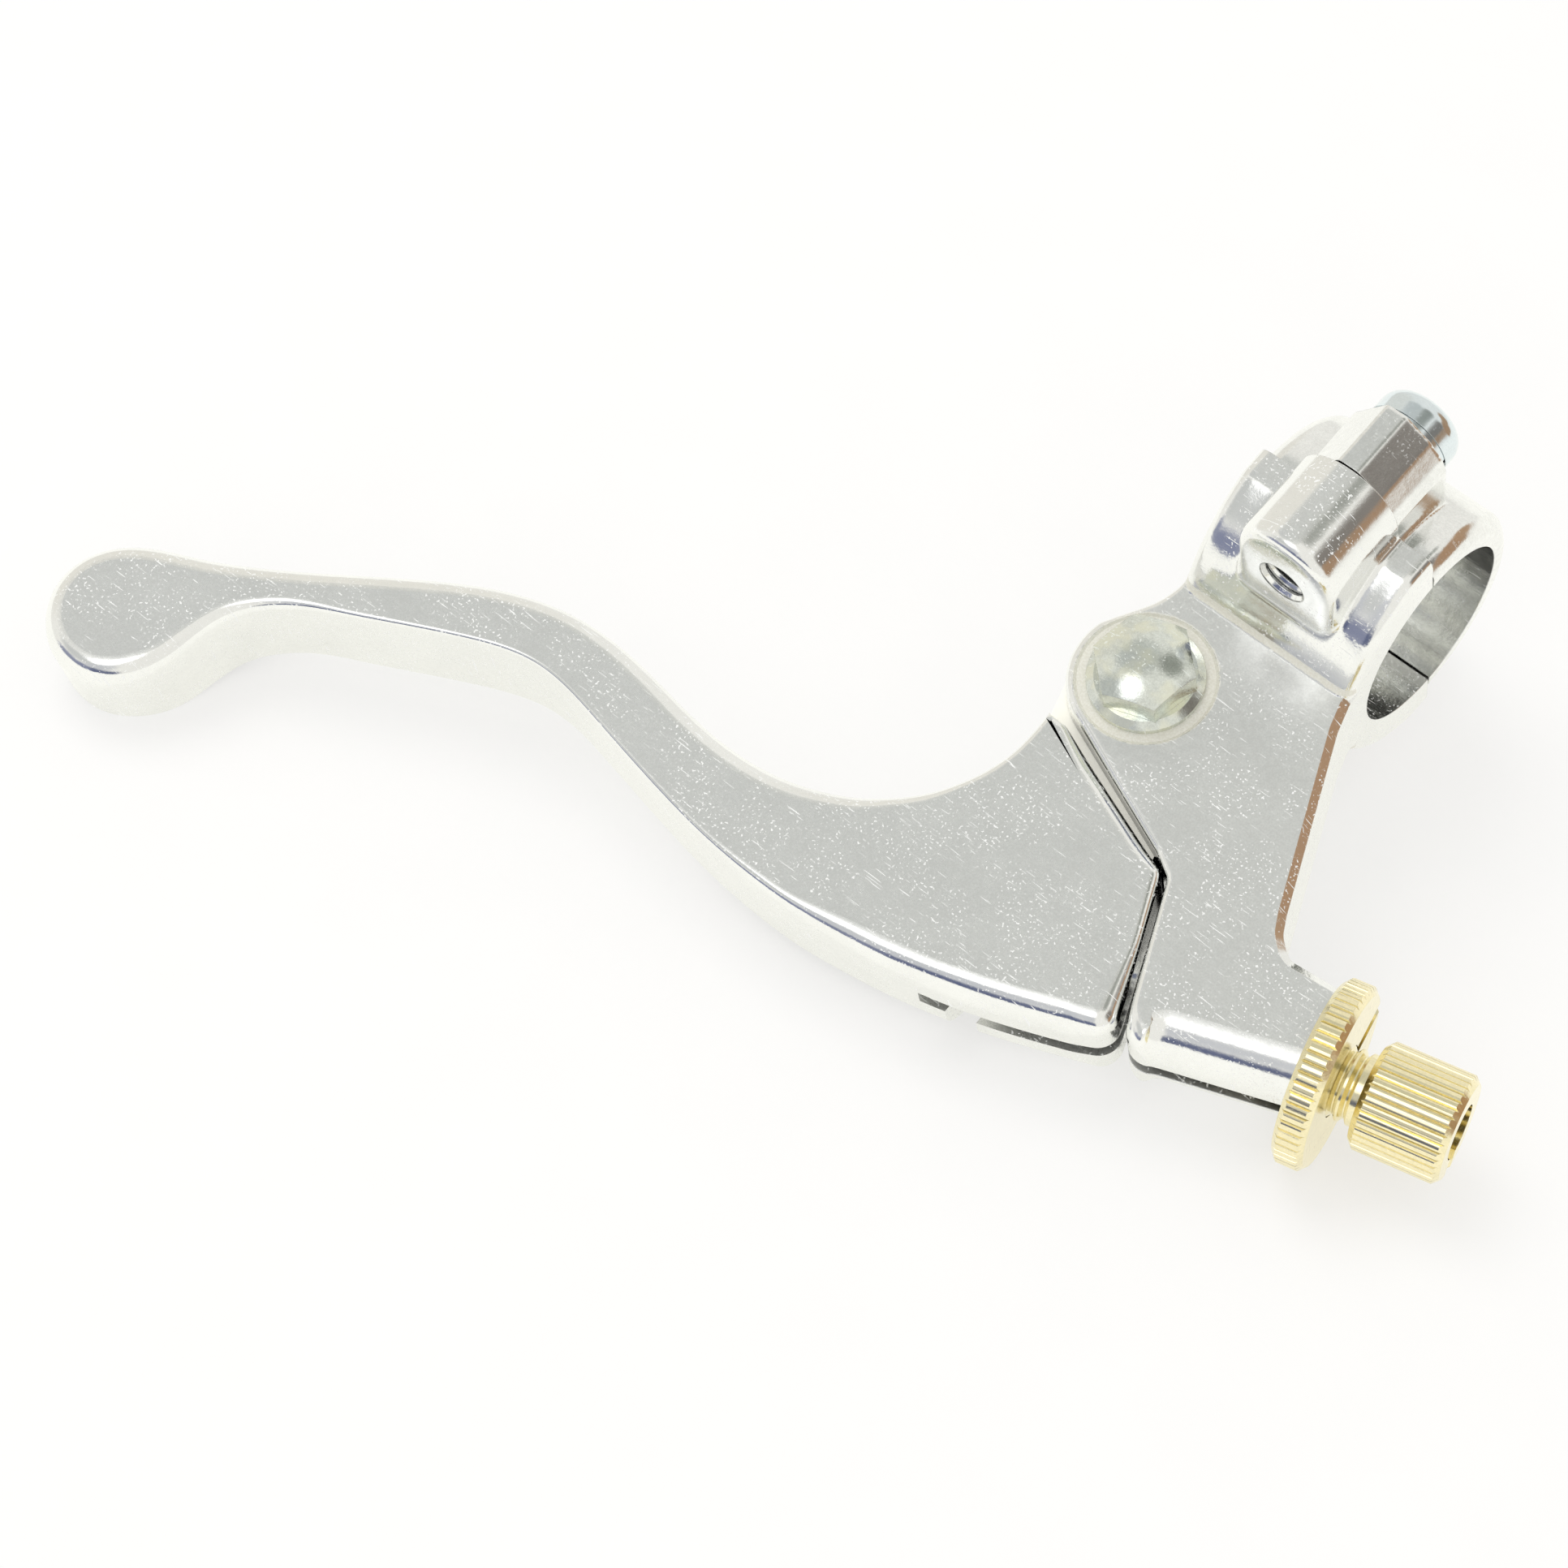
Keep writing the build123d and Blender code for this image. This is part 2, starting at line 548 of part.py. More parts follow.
def shank_profile():
    """Turned profile (along, radius) of the shank with its thread as plain rings."""
    root_r = THREAD_R - THREAD_DEPTH
    s = SHANK_S0 + SHANK_CHAMFER
    points = [(SHANK_S0, 0), (SHANK_S0, THREAD_R - SHANK_CHAMFER), (s, THREAD_R)]
    while s + THREAD_PITCH < BARREL_S0 - 0.3:
        points += [(s + CREST_HALF, THREAD_R),
                   (s + THREAD_PITCH / 2 - ROOT_HALF, root_r),
                   (s + THREAD_PITCH / 2 + ROOT_HALF, root_r),
                   (s + THREAD_PITCH - CREST_HALF, THREAD_R)]
        s += THREAD_PITCH
    return points + [(BARREL_S0 + 0.2, THREAD_R), (BARREL_S0 + 0.2, 0)]


def make_adjuster_barrel():
    with BuildPart() as barrel:
        with BuildSketch(cable_plane(BARREL_S0)):
            with BuildLine():
                Polyline(*knurl(BARREL_R, BARREL_TEETH, BARREL_TOOTH_D), close=True)
            make_face()
        extrude(amount=BARREL_S1 - BARREL_S0)
        with BuildSketch(TURNING_PLANE):
            with BuildLine():
                Polyline(*shank_profile(), close=True)
            make_face()
        revolve(axis=CABLE_AXIS)
        # envelope that bevels both ends of the knurled head
        low_r, high_r = BARREL_R - BARREL_BEVEL, BARREL_R + BEVEL_GAP
        with BuildSketch(TURNING_PLANE):
            with BuildLine():
                Polyline((SHANK_S0 - CLEAR, 0), (SHANK_S0 - CLEAR, 7),
                         (BARREL_S0 - BEVEL_GAP, 7), (BARREL_S0 - BEVEL_GAP, low_r),
                         (BARREL_S0 + BARREL_BEVEL, high_r), (BARREL_S1 - BARREL_BEVEL, high_r),
                         (BARREL_S1 + BEVEL_GAP, low_r), (BARREL_S1 + BEVEL_GAP, 0), close=True)
            make_face()
        revolve(axis=CABLE_AXIS, mode=Mode.INTERSECT)
        # ferrule socket and cable hole
        with BuildSketch(cable_plane(BARREL_S1)):
            Circle(SOCKET_R)
        extrude(amount=-SOCKET_L, mode=Mode.SUBTRACT)
        with BuildSketch(cable_plane(SHANK_S0 - CLEAR)):
            Circle(CABLE_HOLE_R)
        extrude(amount=BARREL_S1 - SHANK_S0, mode=Mode.SUBTRACT)
        # slot along one side for the inner cable
        with BuildSketch(cable_plane(SHANK_S0 - CLEAR)):
            with Locations(Location((0, 0), -125)):
                with Locations((5.0, 0)):
                    Rectangle(10.0, BARREL_SLOT_W)
        extrude(amount=BARREL_S1 - SHANK_S0 + 2 * CLEAR, mode=Mode.SUBTRACT)
    return barrel.part


def make_adjuster_lock_wheel():
    with BuildPart() as wheel:
        with BuildSketch(cable_plane(WHEEL_S0)):
            with BuildLine():
                Polyline(*knurl(WHEEL_R, WHEEL_TEETH, WHEEL_TOOTH_D), close=True)
            make_face()
        extrude(amount=WHEEL_S1 - WHEEL_S0)
        # envelope that bevels both rims
        low_r, high_r = WHEEL_R - 0.7, WHEEL_R + 0.02
        with BuildSketch(TURNING_PLANE):
            with BuildLine():
                Polyline((WHEEL_S0, 0), (WHEEL_S0, low_r), (WHEEL_S0 + 0.65, high_r),
                         (WHEEL_S1 - 0.65, high_r), (WHEEL_S1, low_r), (WHEEL_S1, 0), close=True)
            make_face()
        revolve(axis=CABLE_AXIS, mode=Mode.INTERSECT)
        # threaded hole and the cable slot running out to the rim
        with BuildSketch(cable_plane(WHEEL_S0 - CLEAR)):
            Circle(THREAD_HOLE_R)
            with Locations(Location((0, 0), -8)):
                with Locations((8.0, 0)):
                    Rectangle(10.0, BARREL_SLOT_W)
        extrude(amount=WHEEL_S1 - WHEEL_S0 + 2 * CLEAR, mode=Mode.SUBTRACT)
    return wheel.part


# ------------------------------------------------------------------ output
def write(part, name):
    """Move a finished piece from the pivot axis to the clamp origin and write it."""
    piece = part.moved(Location((-(RING_X0 + RING_X1) / 2, -BAR_Y, 0)))
    piece.label = name
    export_step(piece, "parts/" + name + ".step")


write(make_perch_body(), "perch_body")
write(make_clamp_cap(), "clamp_cap")
for tag, z in (("upper", SCREW_Z), ("lower", -SCREW_Z)):
    write(make_clamp_screw(z), "clamp_screw_" + tag)
    write(make_spring_washer(z), "spring_washer_" + tag)
write(make_lever(), "lever")
write(make_pivot_bushing(), "pivot_bushing")
write(make_pivot_bolt(), "pivot_bolt")
write(make_pivot_washer(), "pivot_washer")
write(make_pivot_nut(), "pivot_nut")
write(make_nut_insert(), "nut_insert")
write(make_adjuster_barrel(), "adjuster_barrel")
write(make_adjuster_lock_wheel(), "adjuster_lock_wheel")
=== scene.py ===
"""Looks for a clutch lever on its perch: refined forgings, materials, floor, light and camera.

The lever blade runs towards -X from an upright pivot (along Z). The handlebar bore runs along X
on the +Y side of the pivot. The frame is in metres; shapes here are drawn in millimetres about
the pivot, and shader patterns are in metres.
"""
import math

import bmesh
import bpy
import numpy as np
from mathutils import Matrix, Vector


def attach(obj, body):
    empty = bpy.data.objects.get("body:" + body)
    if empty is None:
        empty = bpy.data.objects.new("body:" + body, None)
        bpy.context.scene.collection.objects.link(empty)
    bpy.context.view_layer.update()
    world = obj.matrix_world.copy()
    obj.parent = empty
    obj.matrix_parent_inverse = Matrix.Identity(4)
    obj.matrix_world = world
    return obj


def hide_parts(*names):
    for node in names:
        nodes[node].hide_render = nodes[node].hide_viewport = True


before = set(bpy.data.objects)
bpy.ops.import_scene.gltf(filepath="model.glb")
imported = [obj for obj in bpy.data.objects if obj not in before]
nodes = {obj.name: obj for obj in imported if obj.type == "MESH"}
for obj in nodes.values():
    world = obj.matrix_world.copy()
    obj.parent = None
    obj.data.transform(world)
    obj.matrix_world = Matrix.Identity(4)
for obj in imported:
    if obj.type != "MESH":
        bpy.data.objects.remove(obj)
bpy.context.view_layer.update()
scene = bpy.context.scene

# ------------------------------------------------------------------ driving sizes (millimetres)
MM = 0.001
PIVOT = Vector((-7.25, -25.0, 0.0))     # pivot axis in the frame
HALF_THICK = 6.4                        # half height of the lever and perch plates
CABLE_ANGLE = math.radians(13.7)
CABLE_OFFSET = 30.5                     # from the pivot to the cable line
CABLE = (math.cos(CABLE_ANGLE), math.sin(CABLE_ANGLE))
FOOT = (CABLE_OFFSET * CABLE[1], -CABLE_OFFSET * CABLE[0])     # cable point nearest the pivot
CABLE_Z = -0.2
CABLE_SLOT = (CABLE_Z - 1.15, CABLE_Z + 1.15)
BAR_Y = 25.0                            # handlebar axis
BAR_RADIUS = 11.1
CLAMP_X = (-4.1, 18.6)                  # ends of the clamp along the bar
SPLIT = 0.15                            # gap from the bar axis to each clamp half
SCREW_X, SCREW_Z = 7.7, 17.1            # clamp screw axes, mirrored in Z


# ------------------------------------------------------------------ node helpers
class Tree:
    """Adds and wires nodes in one material or world."""

    def __init__(self, tree):
        self.t = tree
        self.t.nodes.clear()

    def n(self, kind, ins=None, **props):
        node = self.t.nodes.new(kind)
        for key, value in props.items():
            setattr(node, key, value)
        for key, value in (ins or {}).items():
            self.put(node.inputs[key], value)
        return node

    def put(self, socket, value):
        if isinstance(value, bpy.types.NodeSocket):
            self.t.links.new(value, socket)
        elif isinstance(value, bpy.types.Node):
            self.t.links.new(value.outputs[0], socket)
        else:
            socket.default_value = value

    def math(self, op, a, b=0.0, clamp=False):
        return self.n("ShaderNodeMath", {0: a, 1: b}, operation=op, use_clamp=clamp).outputs[0]

    def add(self, a, b):
        return self.math("ADD", a, b)

    def sub(self, a, b):
        return self.math("SUBTRACT", a, b)

    def mul(self, a, b, clamp=False):
        return self.math("MULTIPLY", a, b, clamp)

    def above(self, a, b):
        return self.math("GREATER_THAN", a, b)

    def below(self, a, b):
        return self.math("LESS_THAN", a, b)

    def size(self, a):
        return self.math("ABSOLUTE", a)

    def vec(self, op, a, b=(0, 0, 0)):
        node = self.n("ShaderNodeVectorMath", {0: a, 1: b}, operation=op)
        return node.outputs["Value"] if op == "DOT_PRODUCT" else node.outputs[0]

    def xyz(self, vector):
        return self.n("ShaderNodeSeparateXYZ", {"Vector": vector}).outputs

    def facing(self):
        """Size of the Z part of the face normal: 1 on level faces."""
        return self.size(self.xyz(self.n("ShaderNodeNewGeometry").outputs["True Normal"])[2])

    def step(self, value, start, end):
        node = self.n("ShaderNodeMapRange", {"Value": value, "From Min": start, "From Max": end},
                      interpolation_type="SMOOTHSTEP")
        return node.outputs["Result"]

    def mix(self, factor, a, b):
        return self.n("ShaderNodeMix", {"Factor": factor, 6: a, 7: b}, data_type="RGBA").outputs[2]

    def noise(self, vector, scale, detail=3.0, rough=0.55):
        node = self.n("ShaderNodeTexNoise", {"Vector": vector, "Scale": scale, "Detail": detail,
                                             "Roughness": rough})
        return node.outputs["Fac"]

    def blend(self, factor, a, b):
        return self.n("ShaderNodeMixShader", {"Fac": factor, 1: a, 2: b})

    def object_position(self):
        return self.n("ShaderNodeTexCoord").outputs["Object"]


def rgba(color, factor=1.0):
    return (*(c * factor for c in color), 1.0)


def new_material(name):
    material = bpy.data.materials.new(name)
    material.use_nodes = True
    return material, Tree(material.node_tree)


# ------------------------------------------------------------------ metal
# Scratch sets: turn about Z (radians), noise scale along, noise scale across, threshold
SCRATCHES = ((0.55, 260, 5200, 0.735), (-0.30, 330, 6000, 0.74),
             (1.25, 300, 5000, 0.745), (2.15, 380, 5600, 0.745))


def handling_marks(t, pos, marks):
    """Mask of thin straight scratches in several directions, and specks, both in patches."""
    lines = None
    for k, (turn, along, across, threshold) in enumerate(SCRATCHES):
        mapping = t.n("ShaderNodeMapping", {
            "Vector": pos, "Rotation": (0.13 * k, 0.09 * k, turn),
            "Scale": (along, across, along), "Location": (0.37 * k, 0.11, 0.5)})
        line = t.step(t.noise(mapping, scale=1.0, detail=1.0, rough=0.4),
                      start=threshold - 0.015, end=threshold + 0.02)
        patch = t.step(t.noise(pos, scale=170.0 + 55 * k, detail=2.0), start=0.46, end=0.60)
        line = t.mul(line, patch)
        lines = line if lines is None else t.math("MAXIMUM", lines, line)
    speck = t.step(t.noise(pos, scale=3300.0, detail=1.0, rough=0.4), start=0.64, end=0.69)
    speck = t.mul(speck, t.step(t.noise(pos, scale=190.0), start=0.40, end=0.62))
    return t.mul(t.math("MAXIMUM", lines, speck), marks, clamp=True)


def rim_mask(t, pos, sway, centre, radius, height):
    rel = t.xyz(t.vec("SUBTRACT", pos, tuple(centre)))
    reach = t.math("SQRT", t.add(t.mul(rel[0], rel[0]), t.mul(rel[1], rel[1])))
    inside = t.step(t.add(reach, sway(0.0007)), start=radius, end=radius - 0.00035)
    return t.mul(inside, t.above(t.size(rel[2]), height))


def ledge_mask(t, pos, low, high):
    z = t.size(t.xyz(pos)[2])
    level = t.above(t.facing(), 0.9)
    return t.mul(level, t.mul(t.above(z, low), t.below(z, high)))


def seam_mask(t, pos, sway, y_low, y_high, z_low, z_high):
    at = t.xyz(pos)
    z = t.add(t.size(at[2]), sway(0.00016))
    strip = t.mul(t.step(z, start=z_low, end=z_low + 0.0001),
                  t.sub(1.0, t.step(z, start=z_high - 0.0002, end=z_high)))
    return t.mul(strip, t.mul(t.above(at[1], y_low), t.below(at[1], y_high)))


def metal(name, color, rough, grain, marks, bevel_mm=0.0, tint=None, ripple=0.0, rim=None,
          pits=0.0, cloud=0.12, ledge=None, crevice_shade=1.0, seam=None, satin=0.0,
          shut_at=(0.03, 0.30)):
    """Polished metal: base reflectance with fine grain, handling marks and soft ripple.

    grain, marks, ripple, pits and cloud scale their patterns; bevel_mm eases edges.
    tint is a second colour in patches; satin is extra roughness on level faces.
    crevice scales painted shade: the base colour darkened in narrow gaps, where the open share of
    the sky lies within shut_at.
    rim is (centre, radius, height): a paler, duller ring round an upright axis.
    ledge is (low, high): unpolished level faces at those distances from the mid plane, lifted with
    painted light (a weak emission).
    seam is (y_low, y_high, z_low, z_high): an unpolished fillet.
    """
    material, t = new_material(name)
    pos = t.object_position()
    fine = t.noise(pos, scale=4200.0, detail=2.0, rough=0.6)      # about a quarter millimetre
    mid = t.noise(pos, scale=1300.0, rough=0.6)
    wide = t.noise(pos, scale=150.0, detail=4.0, rough=0.6)

    def sway(amount):
        """Medium noise about zero."""
        return t.mul(t.sub(mid, 0.5), amount)

    # colour
    mark = handling_marks(t, pos, marks)
    dark = t.step(t.add(t.mul(fine, 0.55), t.mul(mid, 0.45)), start=0.36, end=0.62)
    if satin:                              # level faces are duller than the polished rolls
        level = t.step(t.facing(), start=0.975, end=0.998)
        dark = t.mul(dark, t.add(t.mul(level, 0.70), 0.30))
    shadow = t.add(t.mul(dark, 0.20 * grain), t.mul(t.step(wide, start=0.3, end=0.7), cloud))
    base = t.mix(shadow, rgba(color), rgba(color, factor=0.55))
    if tint is not None:
        patch = t.step(t.noise(pos, scale=330.0, detail=2.0), start=0.45, end=0.62)
        base = t.mix(t.mul(patch, 0.7), base, rgba(tint))
    # painted shade: ambient occlusion darkens the base colour in narrow gaps and crevices,
    # standing in for their shadow
    open_sky = t.n("ShaderNodeAmbientOcclusion", {"Distance": 0.005}, samples=8).outputs["AO"]
    painted_crevice_shade = t.mul(t.sub(1.0, t.step(open_sky, *shut_at)), crevice_shade)
    base = t.mix(painted_crevice_shade, base, rgba(color, factor=0.10))

    # roughness
    roughness = t.add(sway(0.12 * grain), rough)
    if satin:
        roughness = t.add(roughness, t.mul(level, satin))

    # relief
    height = t.mul(fine, 0.00022 * grain)
    height = t.add(height, t.mul(mid, 0.00045 * grain))
    if pits:
        pitting = t.noise(pos, scale=1500.0, detail=2.0, rough=0.5)
        height = t.add(height, t.mul(pitting, 0.004 * pits))
    if ripple:
        waves = t.noise(pos, scale=520.0, detail=2.0, rough=0.45)
        height = t.add(height, t.mul(waves, 0.0026 * ripple))
    bump = t.n("ShaderNodeBump", {"Height": height, "Strength": 1.0, "Distance": 0.02})
    if bevel_mm:
        t.put(bump.inputs["Normal"], t.n("ShaderNodeBevel", {"Radius": bevel_mm * MM}, samples=4))

    # unpolished areas
    masks = []
    if rim is not None:
        masks.append(rim_mask(t, pos, sway, *rim))
    if ledge is not None:
        masks.append(ledge_mask(t, pos, *ledge))
    if seam is not None:
        masks.append(seam_mask(t, pos, sway, *seam))
    dull = None
    for mask in masks:
        dull = mask if dull is None else t.math("MAXIMUM", dull, mask)
    if masks:
        roughness = t.add(roughness, t.mul(dull, 0.25))

    polished = t.n("ShaderNodeBsdfPrincipled", {"Base Color": base, "Metallic": 1.0,
                                                "Roughness": roughness, "Normal": bump})
    pale = t.n("ShaderNodeBsdfDiffuse", {"Color": rgba(color, factor=1.02), "Normal": bump})
    surface = t.blend(t.mul(mark, 0.9), polished, pale)
    if masks:
        cream = t.n("ShaderNodeBsdfDiffuse", {"Color": t.mix(
            t.step(fine, start=0.35, end=0.6), rgba((0.90, 0.885, 0.80)),
            rgba((0.82, 0.80, 0.70)))})
        if ledge is not None:
            # painted light: the ledge faces lie in a shaded gap, and a weak emission lifts them to
            # a bright cream
            glow = t.n("ShaderNodeEmission", {"Color": rgba((1.0, 0.985, 0.90)),
                                              "Strength": 0.36})
            cream = t.n("ShaderNodeAddShader", {0: cream, 1: glow})
        surface = t.blend(t.mul(dull, 0.85), surface, cream)
    t.n("ShaderNodeOutputMaterial", {"Surface": surface})
    return material


def plastic(name, color, rough=0.4):
    material, t = new_material(name)
    pos = t.object_position()
    grain = t.noise(pos, scale=1800.0)
    base = t.mix(t.step(t.noise(pos, scale=500.0), start=0.4, end=0.65),
                 rgba(color), rgba(color, factor=0.8))
    bump = t.n("ShaderNodeBump", {"Height": grain, "Strength": 0.3, "Distance": 0.0001})
    roughness = t.add(t.mul(grain, 0.15), rough - 0.07)
    surface = t.n("ShaderNodeBsdfPrincipled", {"Base Color": base, "Roughness": roughness,
                                               "Normal": bump})
    t.n("ShaderNodeOutputMaterial", {"Surface": surface})
    return material


# ------------------------------------------------------------------ materials
ALUMINIUM = (0.93, 0.935, 0.915)
SPOT_FACE = (PIVOT * MM, 0.00795, 0.0060)      # machined ring round the pivot bolt
RING_FILLET = ((PIVOT.y + 8.6) * MM, (PIVOT.y + 12.2) * MM, 0.00647, 0.0074)
TONGUE_FACES = (0.0029, 0.0033)
mats = {
    "lever": metal("polished_forging", ALUMINIUM, rough=0.11, grain=1.0, marks=1.3,
                   ledge=TONGUE_FACES, satin=0.17, cloud=0.09, shut_at=(0.02, 0.22)),
    "perch_body": metal("polished_casting", ALUMINIUM, rough=0.11, grain=1.0, marks=1.8,
                        bevel_mm=0.15, ripple=0.25, rim=SPOT_FACE, seam=RING_FILLET,
                        satin=0.19, shut_at=(0.10, 0.48), cloud=0.09),
    "clamp_cap": metal("polished_casting_cap", ALUMINIUM, rough=0.12, grain=1.0, marks=0.4,
                       bevel_mm=0.2, ripple=0.35),
    "zinc": metal("zinc_clear", (0.80, 0.87, 0.90), rough=0.09, grain=0.6, marks=0.2,
                  bevel_mm=0.12, ripple=0.4),
    "bolt": metal("zinc_yellow", (0.80, 0.835, 0.78), rough=0.13, grain=1.6, marks=0.8,
                  bevel_mm=0.10, tint=(0.84, 0.845, 0.70)),
    "brass": metal("turned_brass", (0.97, 0.88, 0.58), rough=0.14, grain=0.8, marks=0.15,
                   bevel_mm=0.08, cloud=0.06, crevice_shade=0.35),
    "bronze": metal("sintered_bronze", (0.62, 0.46, 0.28), rough=0.38, grain=2.0, marks=0.1,
                    pits=1.0),
    "nylon": plastic("nylon_ring", (0.05, 0.12, 0.40)),
}
# CAD piece: material
assign = {
    "lever": "lever", "perch_body": "perch_body", "clamp_cap": "clamp_cap",
    "clamp_screw_upper": "zinc", "clamp_screw_lower": "zinc",
    "spring_washer_upper": "zinc", "spring_washer_lower": "zinc",
    "pivot_bolt": "bolt", "pivot_washer": "zinc", "pivot_nut": "zinc",
    "nut_insert": "nylon", "pivot_bushing": "bronze",
    "adjuster_barrel": "brass", "adjuster_lock_wheel": "brass",
}


# ------------------------------------------------------------------ smooth shading
def smooth_tree():
    """Geometry nodes that weld seams and shade smooth below a set angle."""
    g = bpy.data.node_groups.new("smooth_by_angle", "GeometryNodeTree")
    for way in ("INPUT", "OUTPUT"):
        g.interface.new_socket("Geometry", in_out=way, socket_type="NodeSocketGeometry")
    source, result = g.nodes.new("NodeGroupInput"), g.nodes.new("NodeGroupOutput")
    weld = g.nodes.new("GeometryNodeMergeByDistance")
    weld.inputs["Distance"].default_value = 2e-6
    face = g.nodes.new("GeometryNodeSetShadeSmooth")
    face.domain = "FACE"
    face.inputs["Shade Smooth"].default_value = True
    edge = g.nodes.new("GeometryNodeSetShadeSmooth")
    edge.domain = "EDGE"
    edge.inputs["Shade Smooth"].default_value = False
    angle = g.nodes.new("GeometryNodeInputMeshEdgeAngle")
    sharp = g.nodes.new("FunctionNodeCompare")
    sharp.data_type, sharp.operation = "FLOAT", "GREATER_THAN"
    sharp.inputs[1].default_value = math.radians(28)
    g.links.new(source.outputs[0], weld.inputs["Geometry"])
    g.links.new(weld.outputs[0], face.inputs["Geometry"])
    g.links.new(face.outputs[0], edge.inputs["Geometry"])
    g.links.new(angle.outputs["Unsigned Angle"], sharp.inputs[0])
    g.links.new(sharp.outputs[0], edge.inputs["Selection"])
    g.links.new(edge.outputs[0], result.inputs[0])
    return g


smoother = smooth_tree()


def shade(obj):
    smooth = obj.modifiers.new("smooth", "NODES")
    smooth.node_group = smoother
    even = obj.modifiers.new("even", "WEIGHTED_NORMAL")
    even.keep_sharp, even.weight, even.mode = True, 60, "FACE_AREA"


for name, key in assign.items():
    piece = nodes[name]
    piece.data.materials.clear()
    piece.data.materials.append(mats[key])
    for polygon in piece.data.polygons:
        polygon.material_index = 0
    shade(piece)


# ------------------------------------------------------------------ outlines
# An outline is a list of (x, y, rim) rows; rim is the radius rolled onto the edge there.
RIM_BLEND = 2.2                         # length over which rim radii are averaged


def on_cable(along, aside=0.0):
    """Point from FOOT along the cable, and aside to its +Y side."""
    return (FOOT[0] + along * CABLE[0] - aside * CABLE[1],
            FOOT[1] + along * CABLE[1] + aside * CABLE[0])


def spline(points, per=14):
    """Natural cubic spline through the rows, by chord length, with per rows to a span."""
    p = np.array(points, float)
    xy = p[:, :2]
    chord = np.linalg.norm(np.diff(xy, axis=0), axis=1)
    n = len(p)
    system = np.zeros((n, n))
    target = np.zeros((n, 2))
    system[0, 0] = system[-1, -1] = 1
    for i in range(1, n - 1):
        before, after = chord[i - 1], chord[i]
        system[i, i - 1:i + 2] = before, 2 * (before + after), after
        target[i] = 6 * ((xy[i + 1] - xy[i]) / after - (xy[i] - xy[i - 1]) / before)
    bend = np.linalg.solve(system, target)
    rows = []
    for i in range(n - 1):
        c = chord[i]
        for k in range(per):
            u = k / per
            x, y = u * c, (1 - u) * c
            q = (bend[i] * y ** 3 + bend[i + 1] * x ** 3) / (6 * c) \
                + (xy[i] / c - bend[i] * c / 6) * y + (xy[i + 1] / c - bend[i + 1] * c / 6) * x
            w = u * u * (3 - 2 * u)
            rows.append((q[0], q[1], p[i, 2] * (1 - w) + p[i + 1, 2] * w))
    rows.append(tuple(p[-1]))
    return rows


def corner(before, tip, after, radius, rim, steps=10):
    """Rows for a rounded corner at tip."""
    before, tip, after = (np.array(v[:2], float) for v in (before, tip, after))
    u = (before - tip) / np.linalg.norm(before - tip)
    v = (after - tip) / np.linalg.norm(after - tip)
    half = math.acos(max(-1, min(1, float(u @ v)))) / 2
    cut = radius / math.tan(half)
    centre = tip + (u + v) / np.linalg.norm(u + v) * (radius / math.sin(half))
    start, end = (math.atan2(*(tip + way * cut - centre)[::-1]) for way in (u, v))
    sweep = (end - start + math.pi) % (2 * math.pi) - math.pi
    angles = [start + sweep * (k / steps) for k in range(steps + 1)]
    return [(centre[0] + radius * math.cos(a), centre[1] + radius * math.sin(a), rim)
            for a in angles]


def resample(rows, step):
    """Closed outline at even steps, with its rim radii averaged along the edge."""
    p = np.array(rows, float)
    p = np.vstack([p, p[:1]])
    gaps = np.linalg.norm(np.diff(p[:, :2], axis=0), axis=1)
    p = p[np.concatenate([[True], gaps > 1e-6])]
    gaps = np.linalg.norm(np.diff(p[:, :2], axis=0), axis=1)
    run = np.concatenate([[0], np.cumsum(gaps)])
    stations = np.linspace(0, run[-1], int(run[-1] / step), endpoint=False)
    out = np.stack([np.interp(stations, run, p[:, k]) for k in range(3)], 1)
    kernel = np.hanning(2 * max(1, int(RIM_BLEND / step)) + 3)[1:-1]
    kernel /= kernel.sum()
    n = len(kernel)
    rims = np.concatenate([out[-n:, 2], out[:, 2], out[:n, 2]])
    out[:, 2] = np.convolve(rims, kernel, "same")[n:-n]
    return out


def soft_step(v, a, b):
    t = np.clip((v - a) / (b - a), 0, 1)
    return t * t * (3 - 2 * t)


def circle(cx, cy, r, n=96):
    turns = [2 * math.pi * i / n for i in range(n)]
    return [(cx + r * math.cos(a), cy + r * math.sin(a)) for a in turns]


def box(x0, y0, x1, y1):
    return [(x0, y0), (x1, y0), (x1, y1), (x0, y1)]


# ------------------------------------------------------------------ solids
ROLL_STEPS = 8


def along_x(u, v, w):
    return (w, u, v)


def along_y(u, v, w):
    return (u, w, v)


def along_z(u, v, w):
    return (u, v, w)


def mesh_from(verts, faces):
    me = bpy.data.meshes.new("tmp")
    me.from_pydata([tuple(map(float, v)) for v in verts], [], faces)
    bm = bmesh.new()
    bm.from_mesh(me)
    bmesh.ops.remove_doubles(bm, verts=bm.verts, dist=1e-5)
    bmesh.ops.recalc_face_normals(bm, faces=bm.faces)
    bm.to_mesh(me)
    bm.free()
    return me


def stacked(verts, n):
    """Closed solid over a stack of rings of n vertices each."""
    last = len(verts) - n
    faces = []
    for ring in range(0, last, n):
        for i in range(n):
            j = (i + 1) % n
            faces.append((ring + i, ring + j, ring + n + j, ring + n + i))
    faces.append(tuple(range(n))[::-1])
    faces.append(tuple(range(last, last + n)))
    return mesh_from(verts, faces)


